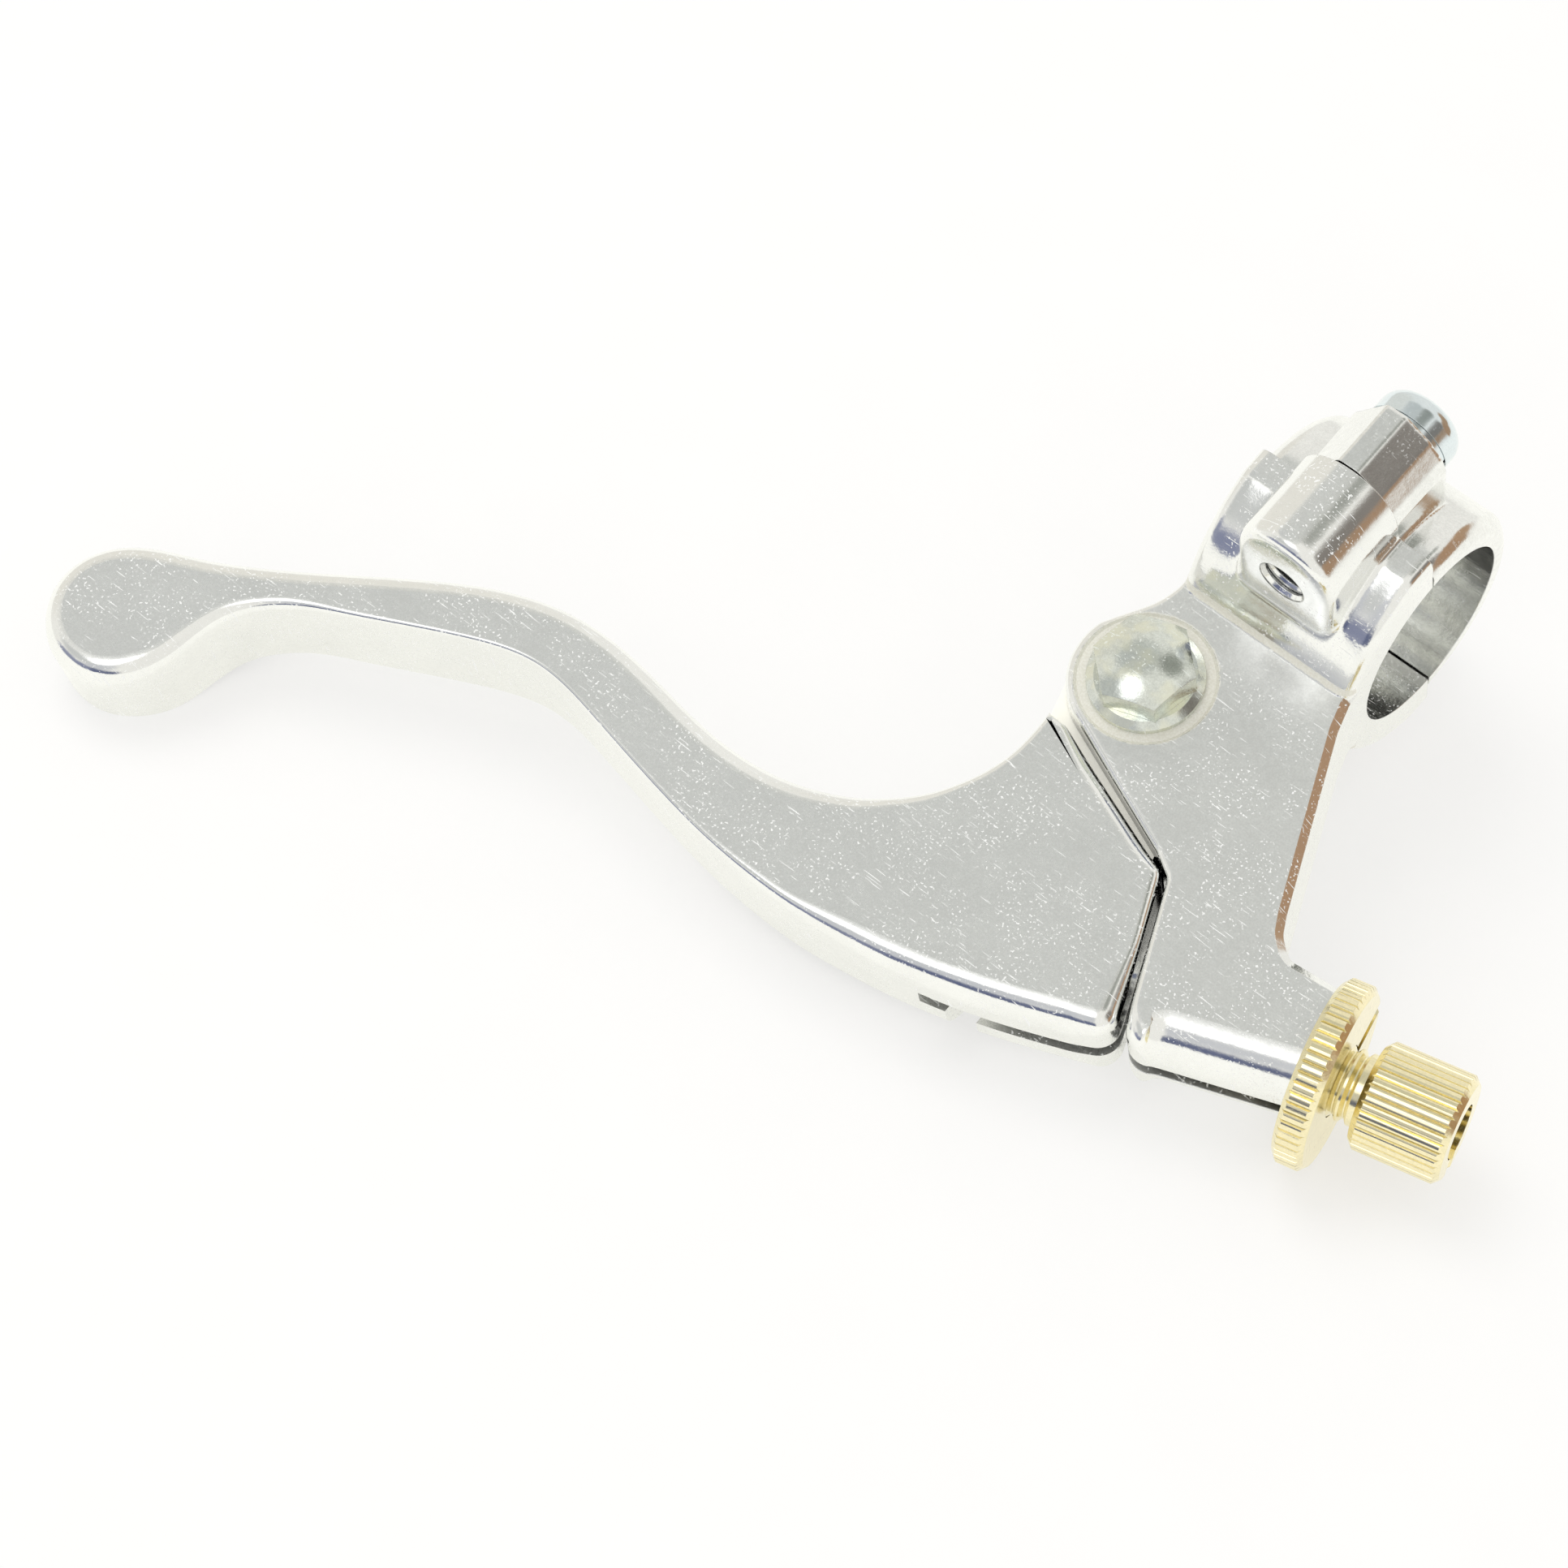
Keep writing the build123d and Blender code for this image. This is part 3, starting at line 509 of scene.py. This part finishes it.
def rolled_plate(rows, low, high, place=along_z, high_rim=None, flat=None, reach=None):
    """A plate of the outline between low and high, its edges rolled by each row's rim.

    flat (0 to 1 per row) turns the roll into a straight bevel; reach stretches it inwards.
    high_rim replaces the rims at the high end.
    """
    p = rows[:, :2]
    flat = np.zeros(len(p)) if flat is None else flat
    reach = np.ones(len(p)) if reach is None else reach
    turning = np.sum(p[:, 0] * np.roll(p[:, 1], -1) - np.roll(p[:, 0], -1) * p[:, 1])
    if turning < 0:
        rows, flat, reach = rows[::-1], flat[::-1], reach[::-1]
        p = rows[:, :2]
    tangent = np.roll(p, -1, 0) - np.roll(p, 1, 0)
    tangent /= np.linalg.norm(tangent, axis=1)[:, None]
    inward = np.stack([-tangent[:, 1], tangent[:, 0]], 1)

    def rolled_edge(level, sign, rims):
        """Rings from the side wall to the flat face at one end."""
        rings = []
        for j in range(ROLL_STEPS + 1):
            a = math.pi / 2 * j / ROLL_STEPS
            line = min(1.0, max(0.0, (j / ROLL_STEPS - 0.06) / 0.88))
            inset = rims * ((1 - math.cos(a)) * (1 - flat) + line * flat) * reach
            drop = rims * ((1 - math.sin(a)) * (1 - flat) + (1 - line) * flat)
            rings.append((p + inward * inset[:, None], level - sign * drop))
        return rings

    top = rows[:, 2] if high_rim is None else np.full(len(p), high_rim)
    rings = rolled_edge(low, -1, rows[:, 2])[::-1] + rolled_edge(high, 1, top)
    n = len(p)
    return stacked([place(q[i, 0], q[i, 1], w[i]) for q, w in rings for i in range(n)], n)


def prism(poly, low, high, place=along_z):
    n = len(poly)
    verts = [place(x, y, w) for w in (low, high) for x, y in poly]
    faces = [tuple(range(n))[::-1], tuple(range(n, 2 * n))]
    faces += [(i, (i + 1) % n, n + (i + 1) % n, n + i) for i in range(n)]
    return mesh_from(verts, faces)


def turned(profile, origin, axis, n):
    """Solid of revolution of (along, radius) rows, with flat ends."""
    origin, z = Vector(origin), Vector(axis).normalized()
    x = z.orthogonal().normalized()
    y = z.cross(x)
    verts = []
    for along, radius in profile:
        for i in range(n):
            a = 2 * math.pi * i / n
            verts.append(origin + z * along + (x * math.cos(a) + y * math.sin(a)) * radius)
    return stacked(verts, n)


def rod(origin, axis, radius, start, end, n):
    return turned([(start, radius), (end, radius)], origin, axis, n)


def thread(radius, depth, pitch, start, end):
    """Profile of ring grooves, deep by depth and pitch apart."""
    rows, s = [(start, radius)], start
    while s + pitch < end:
        rows += [(s + 0.12 * pitch, radius), (s + 0.5 * pitch, radius + depth),
                 (s + 0.62 * pitch, radius + depth), (s + pitch, radius)]
        s += pitch
    return rows + [(end, radius)]


def evaluated(me, setup):
    """The mesh after the modifiers that setup adds."""
    obj = bpy.data.objects.new("work", me)
    scene.collection.objects.link(obj)
    setup(obj)
    depsgraph = bpy.context.evaluated_depsgraph_get()
    result = bpy.data.meshes.new_from_object(obj.evaluated_get(depsgraph))
    bpy.data.objects.remove(obj)
    return result


def boolean(me, tool_mesh, operation="DIFFERENCE"):
    tool = bpy.data.objects.new("tool", tool_mesh)
    scene.collection.objects.link(tool)

    def setup(obj):
        m = obj.modifiers.new("b", "BOOLEAN")
        m.operation, m.object, m.solver = operation, tool, "EXACT"

    result = evaluated(me, setup)
    bpy.data.objects.remove(tool)
    return result


def union(first, *others):
    for other in others:
        first = boolean(first, other, "UNION")
    return first


def cast_skin(parts, voxel, passes):
    """One continuous skin over overlapping solids, with every inner and outer corner eased."""
    bm = bmesh.new()
    for part in parts:
        bm.from_mesh(part)
    me = bpy.data.meshes.new("joined")
    bm.to_mesh(me)
    bm.free()

    def setup(obj):
        remesh = obj.modifiers.new("v", "REMESH")
        remesh.mode, remesh.voxel_size, remesh.adaptivity = "VOXEL", voxel, 0.0
        smooth = obj.modifiers.new("s", "SMOOTH")
        smooth.factor, smooth.iterations = 0.5, passes

    return evaluated(me, setup)


def place_piece(me, name, body, stands_for):
    """Cleans a millimetre mesh, moves it into the frame and has it replace a CAD piece."""
    bm = bmesh.new()
    bm.from_mesh(me)
    bmesh.ops.remove_doubles(bm, verts=bm.verts, dist=1e-4)
    bmesh.ops.dissolve_degenerate(bm, edges=bm.edges, dist=1e-4)
    loose = [v for v in bm.verts if not v.link_faces]
    bmesh.ops.delete(bm, geom=loose, context="VERTS")
    for face in bm.faces:                  # keep the flats flat right up to their borders
        face.normal_update()
        if face.calc_area() > 0.4 and abs(face.normal.z) > 0.99999:
            for edge in face.edges:
                edge.smooth = False
    bm.to_mesh(me)
    bm.free()
    me.transform(Matrix.Scale(MM, 4) @ Matrix.Translation(PIVOT))
    me.name = name
    me.materials.clear()
    me.materials.append(mats[stands_for])
    me.polygons.foreach_set("material_index", [0] * len(me.polygons))
    obj = bpy.data.objects.new(name, me)
    scene.collection.objects.link(obj)
    shade(obj)
    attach(obj, body)
    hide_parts(stands_for)


# ------------------------------------------------------------------ lever forging
# Blade outline (x, y, rim): edge facing the bar, round the ball end, then the edge facing away
BAR_EDGE = [
    (-5.75, -9.20, 0.9), (-5.75, -14.65, 0.9), (-7.60, -20.60, 1.0), (-11.50, -25.85, 1.5),
    (-17.30, -29.90, 2.2), (-24.70, -32.40, 2.6), (-33.00, -32.95, 2.4), (-44.50, -31.60, 2.2),
    (-54.40, -31.70, 2.2), (-62.60, -34.20, 2.3), (-72.20, -39.60, 2.5), (-84.20, -47.40, 2.8),
    (-92.60, -52.00, 3.1)]
BALL_END = [
    (-98.60, -54.85, 3.2), (-101.80, -57.60, 3.2), (-103.50, -61.00, 3.2),
    (-103.60, -64.60, 3.2), (-102.10, -67.90, 3.2), (-99.30, -70.30, 3.2),
    (-95.60, -71.30, 3.1), (-91.70, -70.60, 2.8), (-88.40, -67.90, 2.4), (-86.40, -63.60, 1.9)]
FAR_EDGE = [
    (-84.90, -56.60, 1.5), (-81.30, -51.90, 1.1), (-73.20, -47.20, 0.6), (-61.60, -41.60, 0.5),
    (-53.40, -39.05, 0.5), (-44.60, -39.80, 0.5), (-28.00, -42.70, 0.7), (-15.80, -43.45, 1.2),
    (-4.20, -42.35, 2.3), (8.00, -39.45, 3.3), (20.20, -34.75, 3.4)]
FAR_EDGE_END_X = 18.6                   # the root corners take over from here
ROOT = [(22.65, -33.25), (18.62, -23.90), (15.21, -16.15), (-3.30, -9.32)]
TONGUE_HALF = 3.1                       # thin tongue round the pivot
TONGUE = [(8.24, 2.07), (13.2, -16.6), (6.0, -24.0), (-5.2, -22.0), (-5.6, -11.0), (-8.1, -2.5)]
LEVER_CABLE_SLOT = [(2.1, -48.0), (2.9, -27.0), (14.0, -23.0), (26.0, -22.0), (30.0, -40.0)]


def lever_outline():
    rows = spline(BAR_EDGE + BALL_END + FAR_EDGE)
    while rows[-1][0] > FAR_EDGE_END_X:
        rows.pop()
    root = [rows[-1], *ROOT, rows[0]]
    rows += corner(*root[0:3], radius=2.6, rim=2.2)
    rows += [(*root[2], 0.9)]
    rows += corner(*root[2:5], radius=1.6, rim=1.1)
    rows += [(12.0, -14.96, 1.7), (1.0, -10.89, 1.7)]
    rows += corner(*root[3:6], radius=0.9, rim=0.8)
    return resample(rows, 0.4)


def build_lever():
    rows = lever_outline()
    blade = rolled_plate(rows, -HALF_THICK, HALF_THICK,
                         reach=1 - 0.2 * soft_step(rows[:, 2], 2.3, 3.2))
    tongue = union(prism(circle(0, 0, 8.5), -TONGUE_HALF, TONGUE_HALF),
                   prism(TONGUE, -TONGUE_HALF, TONGUE_HALF))
    entry = [(5.2, -48.0), (5.2, FOOT[1]), (8.6, FOOT[1]), (8.6, -48.0)]
    cutters = union(
        prism(circle(0, 0, 4.5), -7.4, 7.4),           # pivot bore
        prism(circle(*FOOT, 4.1), -7.4, 4.2),          # pocket on the cable line, open below
        prism(LEVER_CABLE_SLOT, *CABLE_SLOT),
        prism(entry, -7.5, CABLE_Z))                   # slot from below up to the cable
    return boolean(boolean(blade, tongue, "UNION"), cutters)


# ------------------------------------------------------------------ perch casting
HUB_RADIUS = 8.6                        # boss round the pivot
HUB_START, HUB_END = (-8.25, 2.43), (-3.12, -8.015)
# Edge facing the lever (x, y), from the hub to the corner beside the cable
LEVER_SIDE = [HUB_END, (13.30, -14.70), (16.10, -16.40), (20.30, -25.80), (22.35, -30.60),
              (23.75, -33.45)]
# +X wall (x, y), from the cable mouth back to the clamp
WALL = [on_cable(42.0, 5.8), (34.6, -15.95), (31.2, -15.45), (29.35, -13.9), (28.3, -12.0),
        (19.6, 7.6), (18.6, 10.9), (18.6, 15.0)]
# Half ring of the clamp (y, z, rim), widening towards the parting line
HALF_RING = [
    (21.5, 16.9, 1.3), (16.6, 14.1, 1.3), (12.9, 10.1, 1.3), (10.4, 5.4, 1.3), (9.5, 0, 1.3),
    (10.4, -5.4, 1.3), (12.9, -10.1, 1.3), (16.6, -14.1, 1.3), (21.5, -16.9, 1.3)]
# Plate end inside the ring (x, y, rim)
STUB = [(-3.5, 16.0, 0.8), (-3.5, 10.5, 0.8), (-4.2, 7.0, 0.8), (-3.0, 2.5, 0.8),
        (18.0, 2.5, 0.8), (18.6, 7.4, 0.8), (17.9, 10.9, 0.8), (17.9, 16.0, 0.8)]
BOSS_RADIUS, BOSS_Z = 6.3, 18.7         # screw bosses
TONGUE_SLOT = [(9.0, 2.0), (14.9, -15.2), (14.0, -22.0), (-16.0, -22.0), (-16.0, 0.5),
               (-9.0, 0.5)]
TONGUE_SLOT_HALF = 3.2
SPOT_PROFILE = [(6.15, 7.4), (6.5, 7.9), (9, 7.9)]     # (height, radius) of the pivot spot face


def perch_outline():
    rows = [(-4.1, 15.0, 0.8), (-4.1, 11.5, 0.8)]
    rows += spline([(-4.1, 11.5, 0.8), (-4.9, 8.2, 0.9), (-6.6, 5.2, 1.0), (*HUB_START, 1.0)],
                   8)[1:-1]
    rows += [(HUB_RADIUS * math.cos(a), HUB_RADIUS * math.sin(a), 1.0)
             for a in np.linspace(math.atan2(*HUB_START[::-1]),
                                  math.atan2(*HUB_END[::-1]) + 2 * math.pi, 18)]
    rows += corner(*LEVER_SIDE[0:3], radius=1.2, rim=0.7)
    rows += corner(*LEVER_SIDE[1:4], radius=1.6, rim=0.7)
    rows += [(*LEVER_SIDE[4], 1.0)]
    tip = on_cable(42.0, -4.11)
    rows += corner(*LEVER_SIDE[4:6], tip, radius=2.7, rim=2.3)
    rows += [(26.6, -32.2, 2.5), (*tip, 2.5)]
    rows += [(*WALL[0], 1.8)]
    for i, radius in ((2, 2.6), (3, 2.2), (4, 2.2)):
        rows += corner(*WALL[i - 1:i + 2], radius=radius, rim=1.8, steps=6)
    rows += [(*point, 1.8) for point in WALL[5:]]
    return resample(rows, 0.35)


def perch_plate():
    rows = perch_outline()
    x, y = rows[:, 0], rows[:, 1]
    # the +X wall has a small straight bevel, the -Y edge along the cable a broad roll
    wall = soft_step(x - 0.44 * (8 - y), 16.0, 17.5) * soft_step(y, -19.5, -17.5)
    broad = soft_step(-y - 0.30 * (38 - x), 25.2, 27.0) * soft_step(x, 24.9, 27.4)
    rows[:, 2] = rows[:, 2] * (1 - wall) + 0.9 * wall
    rows[:, 2] = rows[:, 2] * (1 - broad) + 5.7 * broad
    # rims nearly vanish inside the ring and beyond the trimmed cable mouth
    along = (x - FOOT[0]) * CABLE[0] + (y - FOOT[1]) * CABLE[1]
    buried = np.maximum(soft_step(y, 10.5, 13.0), soft_step(along, 35.5, 39.0))
    rows[:, 2] *= 1 - 0.96 * buried
    return rolled_plate(rows, -HALF_THICK, HALF_THICK, flat=wall, reach=1 - 0.18 * broad)


def screw_boss(side):
    low, rim = 8.0, 1.4
    rows = [(-BOSS_RADIUS, low, rim), (-BOSS_RADIUS, BOSS_Z, rim)]
    rows += [(BOSS_RADIUS * math.cos(a), BOSS_Z + BOSS_RADIUS * math.sin(a), rim)
             for a in np.linspace(math.pi, 0, 24)[1:-1]]
    rows += [(BOSS_RADIUS, BOSS_Z, rim), (BOSS_RADIUS, low, rim)]
    return rolled_plate(resample(rows, 0.5), 13.4, 27.0,
                        lambda u, v, w: (SCREW_X + u, w, side * v), high_rim=0.3)


def bar_bore():
    return rod((0, BAR_Y, 0), (1, 0, 0), BAR_RADIUS, -20, 40, 144)


def perch_cutters():
    cutters = [prism(box(-40, BAR_Y - SPLIT, 60, 60), -40, 40), bar_bore()]
    for side in (1, -1):
        cutters.append(turned(thread(2.6, depth=0.36, pitch=1.0, start=12.0, end=26.0),
                              (SCREW_X, 0, side * SCREW_Z), (0, 1, 0), 48))
    cutters.append(prism(circle(0, 0, 9.2), -TONGUE_SLOT_HALF, TONGUE_SLOT_HALF))
    cutters.append(prism(TONGUE_SLOT, -TONGUE_SLOT_HALF, TONGUE_SLOT_HALF))
    cutters.append(rod((0, 0, 0), (0, 0, 1), 3.05, -8, 8, 48))         # pivot bolt hole
    for side in (1, -1):
        cutters.append(turned(SPOT_PROFILE, (0, 0, 0), (0, 0, side), 96))
    # cable bore, the slot beside it, and the trimmed mouth
    cutters.append(rod((*FOOT, CABLE_Z), (*CABLE, 0), 4.05, 5, 37, 48))
    cutters.append(prism([on_cable(*p) for p in box(10, 0, 38, -14)], *CABLE_SLOT))
    cutters.append(prism([on_cable(*p) for p in box(32.7, -12, 44, 12)], -9, 9))
    return union(*cutters)


def build_perch():
    plate = perch_plate()
    # hidden stub of the plate, so that the cast fillet at the foot of the ring forms
    stub = rolled_plate(resample(STUB, 0.5), -HALF_THICK + 0.15, HALF_THICK - 0.15)
    half_ring = spline(HALF_RING, 10) + [(27.5, -17.0, 1.3), (27.5, 17.0, 1.3)]
    ring = rolled_plate(resample(half_ring, 0.5), *CLAMP_X, along_x)
    parts = [stub, ring, screw_boss(1), screw_boss(-1)]
    return boolean(union(plate, cast_skin(parts, voxel=0.34, passes=18)), perch_cutters())


# ------------------------------------------------------------------ clamp cap
CAP_RADIUS = 14.3
# Screw lug (x from the screw axis, distance from the mid plane)
LUG = [(-6.0, 8.0), (6.0, 8.0), (6.0, 19.0), (5.5, 20.5), (3.9, 22.6), (0.7, 24.7),
       (-1.7, 24.7), (-6.0, 18.4)]


def build_cap():
    rim = 1.7
    rows = [(BAR_Y + CAP_RADIUS * math.cos(a), CAP_RADIUS * math.sin(a), rim)
            for a in np.linspace(-math.pi / 2, math.pi / 2, 60)]
    rows += [(22.5, CAP_RADIUS, rim), (22.5, -CAP_RADIUS, rim)]
    rows = resample(rows, 0.5)
    parts = [rolled_plate(rows, *CLAMP_X, along_x, flat=np.full(len(rows), 0.5))]
    for side in (1, -1):
        lug = [(SCREW_X + u, side * v) for u, v in LUG]
        parts.append(prism(lug, 22.5, 33.5, along_y))
    cutters = [prism(box(-40, BAR_Y + SPLIT, 60, 0), -40, 40), bar_bore()]
    cutters += [rod((SCREW_X, 0, side * SCREW_Z), (0, 1, 0), 3.3, 20, 40, 48)
                for side in (1, -1)]
    # notch in the +X edge beside the -Z lug
    cutters.append(prism(box(13.9, -14.0, 30, -23.0), 20, 45, along_y))
    return boolean(cast_skin(parts, voxel=0.24, passes=7), union(*cutters))


place_piece(build_lever(), "lever_forging", "lever", "lever")
place_piece(build_perch(), "perch_casting", "perch", "perch_body")
place_piece(build_cap(), "cap_casting", "perch", "clamp_cap")

# ------------------------------------------------------------------ floor
# Three points the floor passes through, below the ball end, the cable mouth and the clamp
FLOOR_POINTS = ((-97, -62, -6.5), (40.7, -21.3, -10.55), (7.7, 24.8, -25.1))


def floor_paper():
    """Grey paper with a glow, clear from behind."""
    material, t = new_material("floor_paper")
    cloud = t.step(t.noise(t.object_position(), scale=60.0), start=0.3, end=0.7)
    paper = t.mix(cloud, rgba((0.395, 0.393, 0.390)), rgba((0.403, 0.400, 0.397)))
    diffuse = t.n("ShaderNodeBsdfDiffuse", {"Color": paper})
    glow = t.mix(t.n("ShaderNodeLightPath").outputs["Is Glossy Ray"],
                 rgba((1.0, 0.995, 0.98)), rgba((1.08, 1.075, 1.00)))
    emission = t.n("ShaderNodeEmission", {"Color": glow, "Strength": 0.60})
    both = t.n("ShaderNodeAddShader", {0: diffuse, 1: emission})
    clear = t.n("ShaderNodeBsdfTransparent")
    behind = t.n("ShaderNodeNewGeometry").outputs["Backfacing"]
    t.n("ShaderNodeOutputMaterial", {"Surface": t.blend(behind, both, clear)})
    return material


def build_floor():
    p1, p2, p3 = (Vector(p) * MM + PIVOT * MM for p in FLOOR_POINTS)
    normal = (p2 - p1).cross(p3 - p1).normalized()
    me = bpy.data.meshes.new("floor")
    bm = bmesh.new()
    bmesh.ops.create_grid(bm, x_segments=1, y_segments=1, size=3.0)
    bm.to_mesh(me)
    bm.free()
    floor = bpy.data.objects.new("floor", me)
    scene.collection.objects.link(floor)
    tilt = normal.to_track_quat("Z", "Y").to_matrix().to_4x4()
    floor.matrix_world = Matrix.Translation(p1) @ tilt
    me.materials.append(floor_paper())


build_floor()

# ------------------------------------------------------------------ surroundings
# Room patches, each painted over the last: direction, full within (degrees),
# gone beyond (degrees), colour, amount
ROOM = (
    ((-0.90, 0.33, 0.25), 15, 45, (0.84, 0.82, 0.76), 1.0),      # pale warm wall, -X
    ((-0.35, 0.24, 0.905), 15, 28, (0.62, 0.63, 0.605), 1.0),    # ceiling seen by flat faces
    ((-0.49, 0.16, 0.855), 4, 18, (0.62, 0.63, 0.62), 1.0),
    ((-0.02, -0.72, 0.69), 6, 22, (0.60, 0.61, 0.64), 1.0),
    ((-0.44, -0.52, 0.74), 6, 22, (0.60, 0.61, 0.60), 1.0),
    ((-0.11, -0.33, 0.935), 5, 18, (1.9, 1.9, 1.92), 1.0),       # soft light overhead
    ((0.19, 0.50, 0.85), 5, 19, (0.34, 0.35, 0.32), 1.0),        # dark, high on the +Y side
    ((0.78, 0.33, 0.50), 6, 24, (0.24, 0.22, 0.20), 1.0),
    ((0.72, 0.68, 0.10), 15, 21, (0.42, 0.27, 0.17), 1.0),       # brown, low on +X and +Y
    ((0.42, 0.88, 0.10), 9, 17, (0.45, 0.30, 0.19), 1.0),
    ((0.93, 0.24, 0.22), 8, 16, (0.38, 0.25, 0.16), 1.0),
    ((0.30, -0.90, 0.30), 6, 17, (0.13, 0.15, 0.24), 1.0),       # dark blue, low on -Y
    ((0.03, -0.93, 0.34), 6, 17, (0.12, 0.14, 0.24), 1.0),
    ((-0.26, -0.90, 0.32), 6, 17, (0.24, 0.26, 0.37), 1.0),
    ((-0.55, -0.78, 0.28), 6, 17, (0.26, 0.28, 0.39), 0.95),
)


def build_world():
    """Room for reflections, even grey for diffuse light, near white for the camera."""
    world = bpy.data.worlds.new("studio")
    scene.world = world
    world.use_nodes = True
    t = Tree(world.node_tree)
    view = t.vec("NORMALIZE", t.n("ShaderNodeTexCoord").outputs["Generated"])
    room = rgba((0.90, 0.89, 0.85))
    for direction, inner, outer, color, amount in ROOM:
        cosine = t.vec("DOT_PRODUCT", view, tuple(Vector(direction).normalized()))
        patch = t.step(cosine, start=math.cos(math.radians(outer)),
                       end=math.cos(math.radians(inner)))
        room = t.mix(t.mul(patch, amount), room, rgba(color))
    path = t.n("ShaderNodeLightPath").outputs
    unseen = t.mix(path["Is Diffuse Ray"], room, rgba((0.80, 0.80, 0.795)))
    seen = t.mix(path["Is Camera Ray"], unseen, rgba((0.985, 0.98, 0.965)))
    background = t.n("ShaderNodeBackground", {"Color": seen, "Strength": 1.0})
    t.n("ShaderNodeOutputWorld", {"Surface": background})


def area(name, where, size, watts, color):
    """Round light aimed at the frame's origin and unseen in reflections."""
    data = bpy.data.lights.new(name, "AREA")
    data.shape, data.size, data.energy, data.color = "DISK", size, watts, color
    light = bpy.data.objects.new(name, data)
    scene.collection.objects.link(light)
    light.location = where
    light.rotation_mode = "QUATERNION"
    light.rotation_quaternion = (Vector((0, 0, 0)) - Vector(where)).to_track_quat("-Z", "Y")
    light.visible_glossy = False


build_world()
area("key", where=(-0.55, 0.25, 0.95), size=0.75, watts=2.9, color=(1.0, 0.99, 0.97))
area("fill", where=(0.35, -0.75, 0.85), size=0.9, watts=1.1, color=(0.98, 0.99, 1.0))

# ------------------------------------------------------------------ camera
CAMERA_AT = Vector((132.695139, -138.615584, 405.281276))     # millimetres from the pivot
CAMERA_AXES = ((0.7483720766, 0.6526451977, -0.1182940439),   # right
               (-0.5622902443, 0.7188524818, 0.4087551720),   # up
               (0.3518080671, -0.2393853700, 0.9049451522))   # back
cam_data = bpy.data.cameras.new("camera")
cam = bpy.data.objects.new("camera", cam_data)
scene.collection.objects.link(cam)
turn = Matrix(CAMERA_AXES).transposed().to_4x4()
cam.matrix_world = Matrix.Translation((CAMERA_AT + PIVOT) * MM) @ turn
cam_data.sensor_width = 36.0
cam_data.lens = 95.5405118
cam_data.clip_start, cam_data.clip_end = 0.01, 20.0
scene.camera = cam
scene.view_settings.view_transform = "Standard"
scene.view_settings.look = "None"
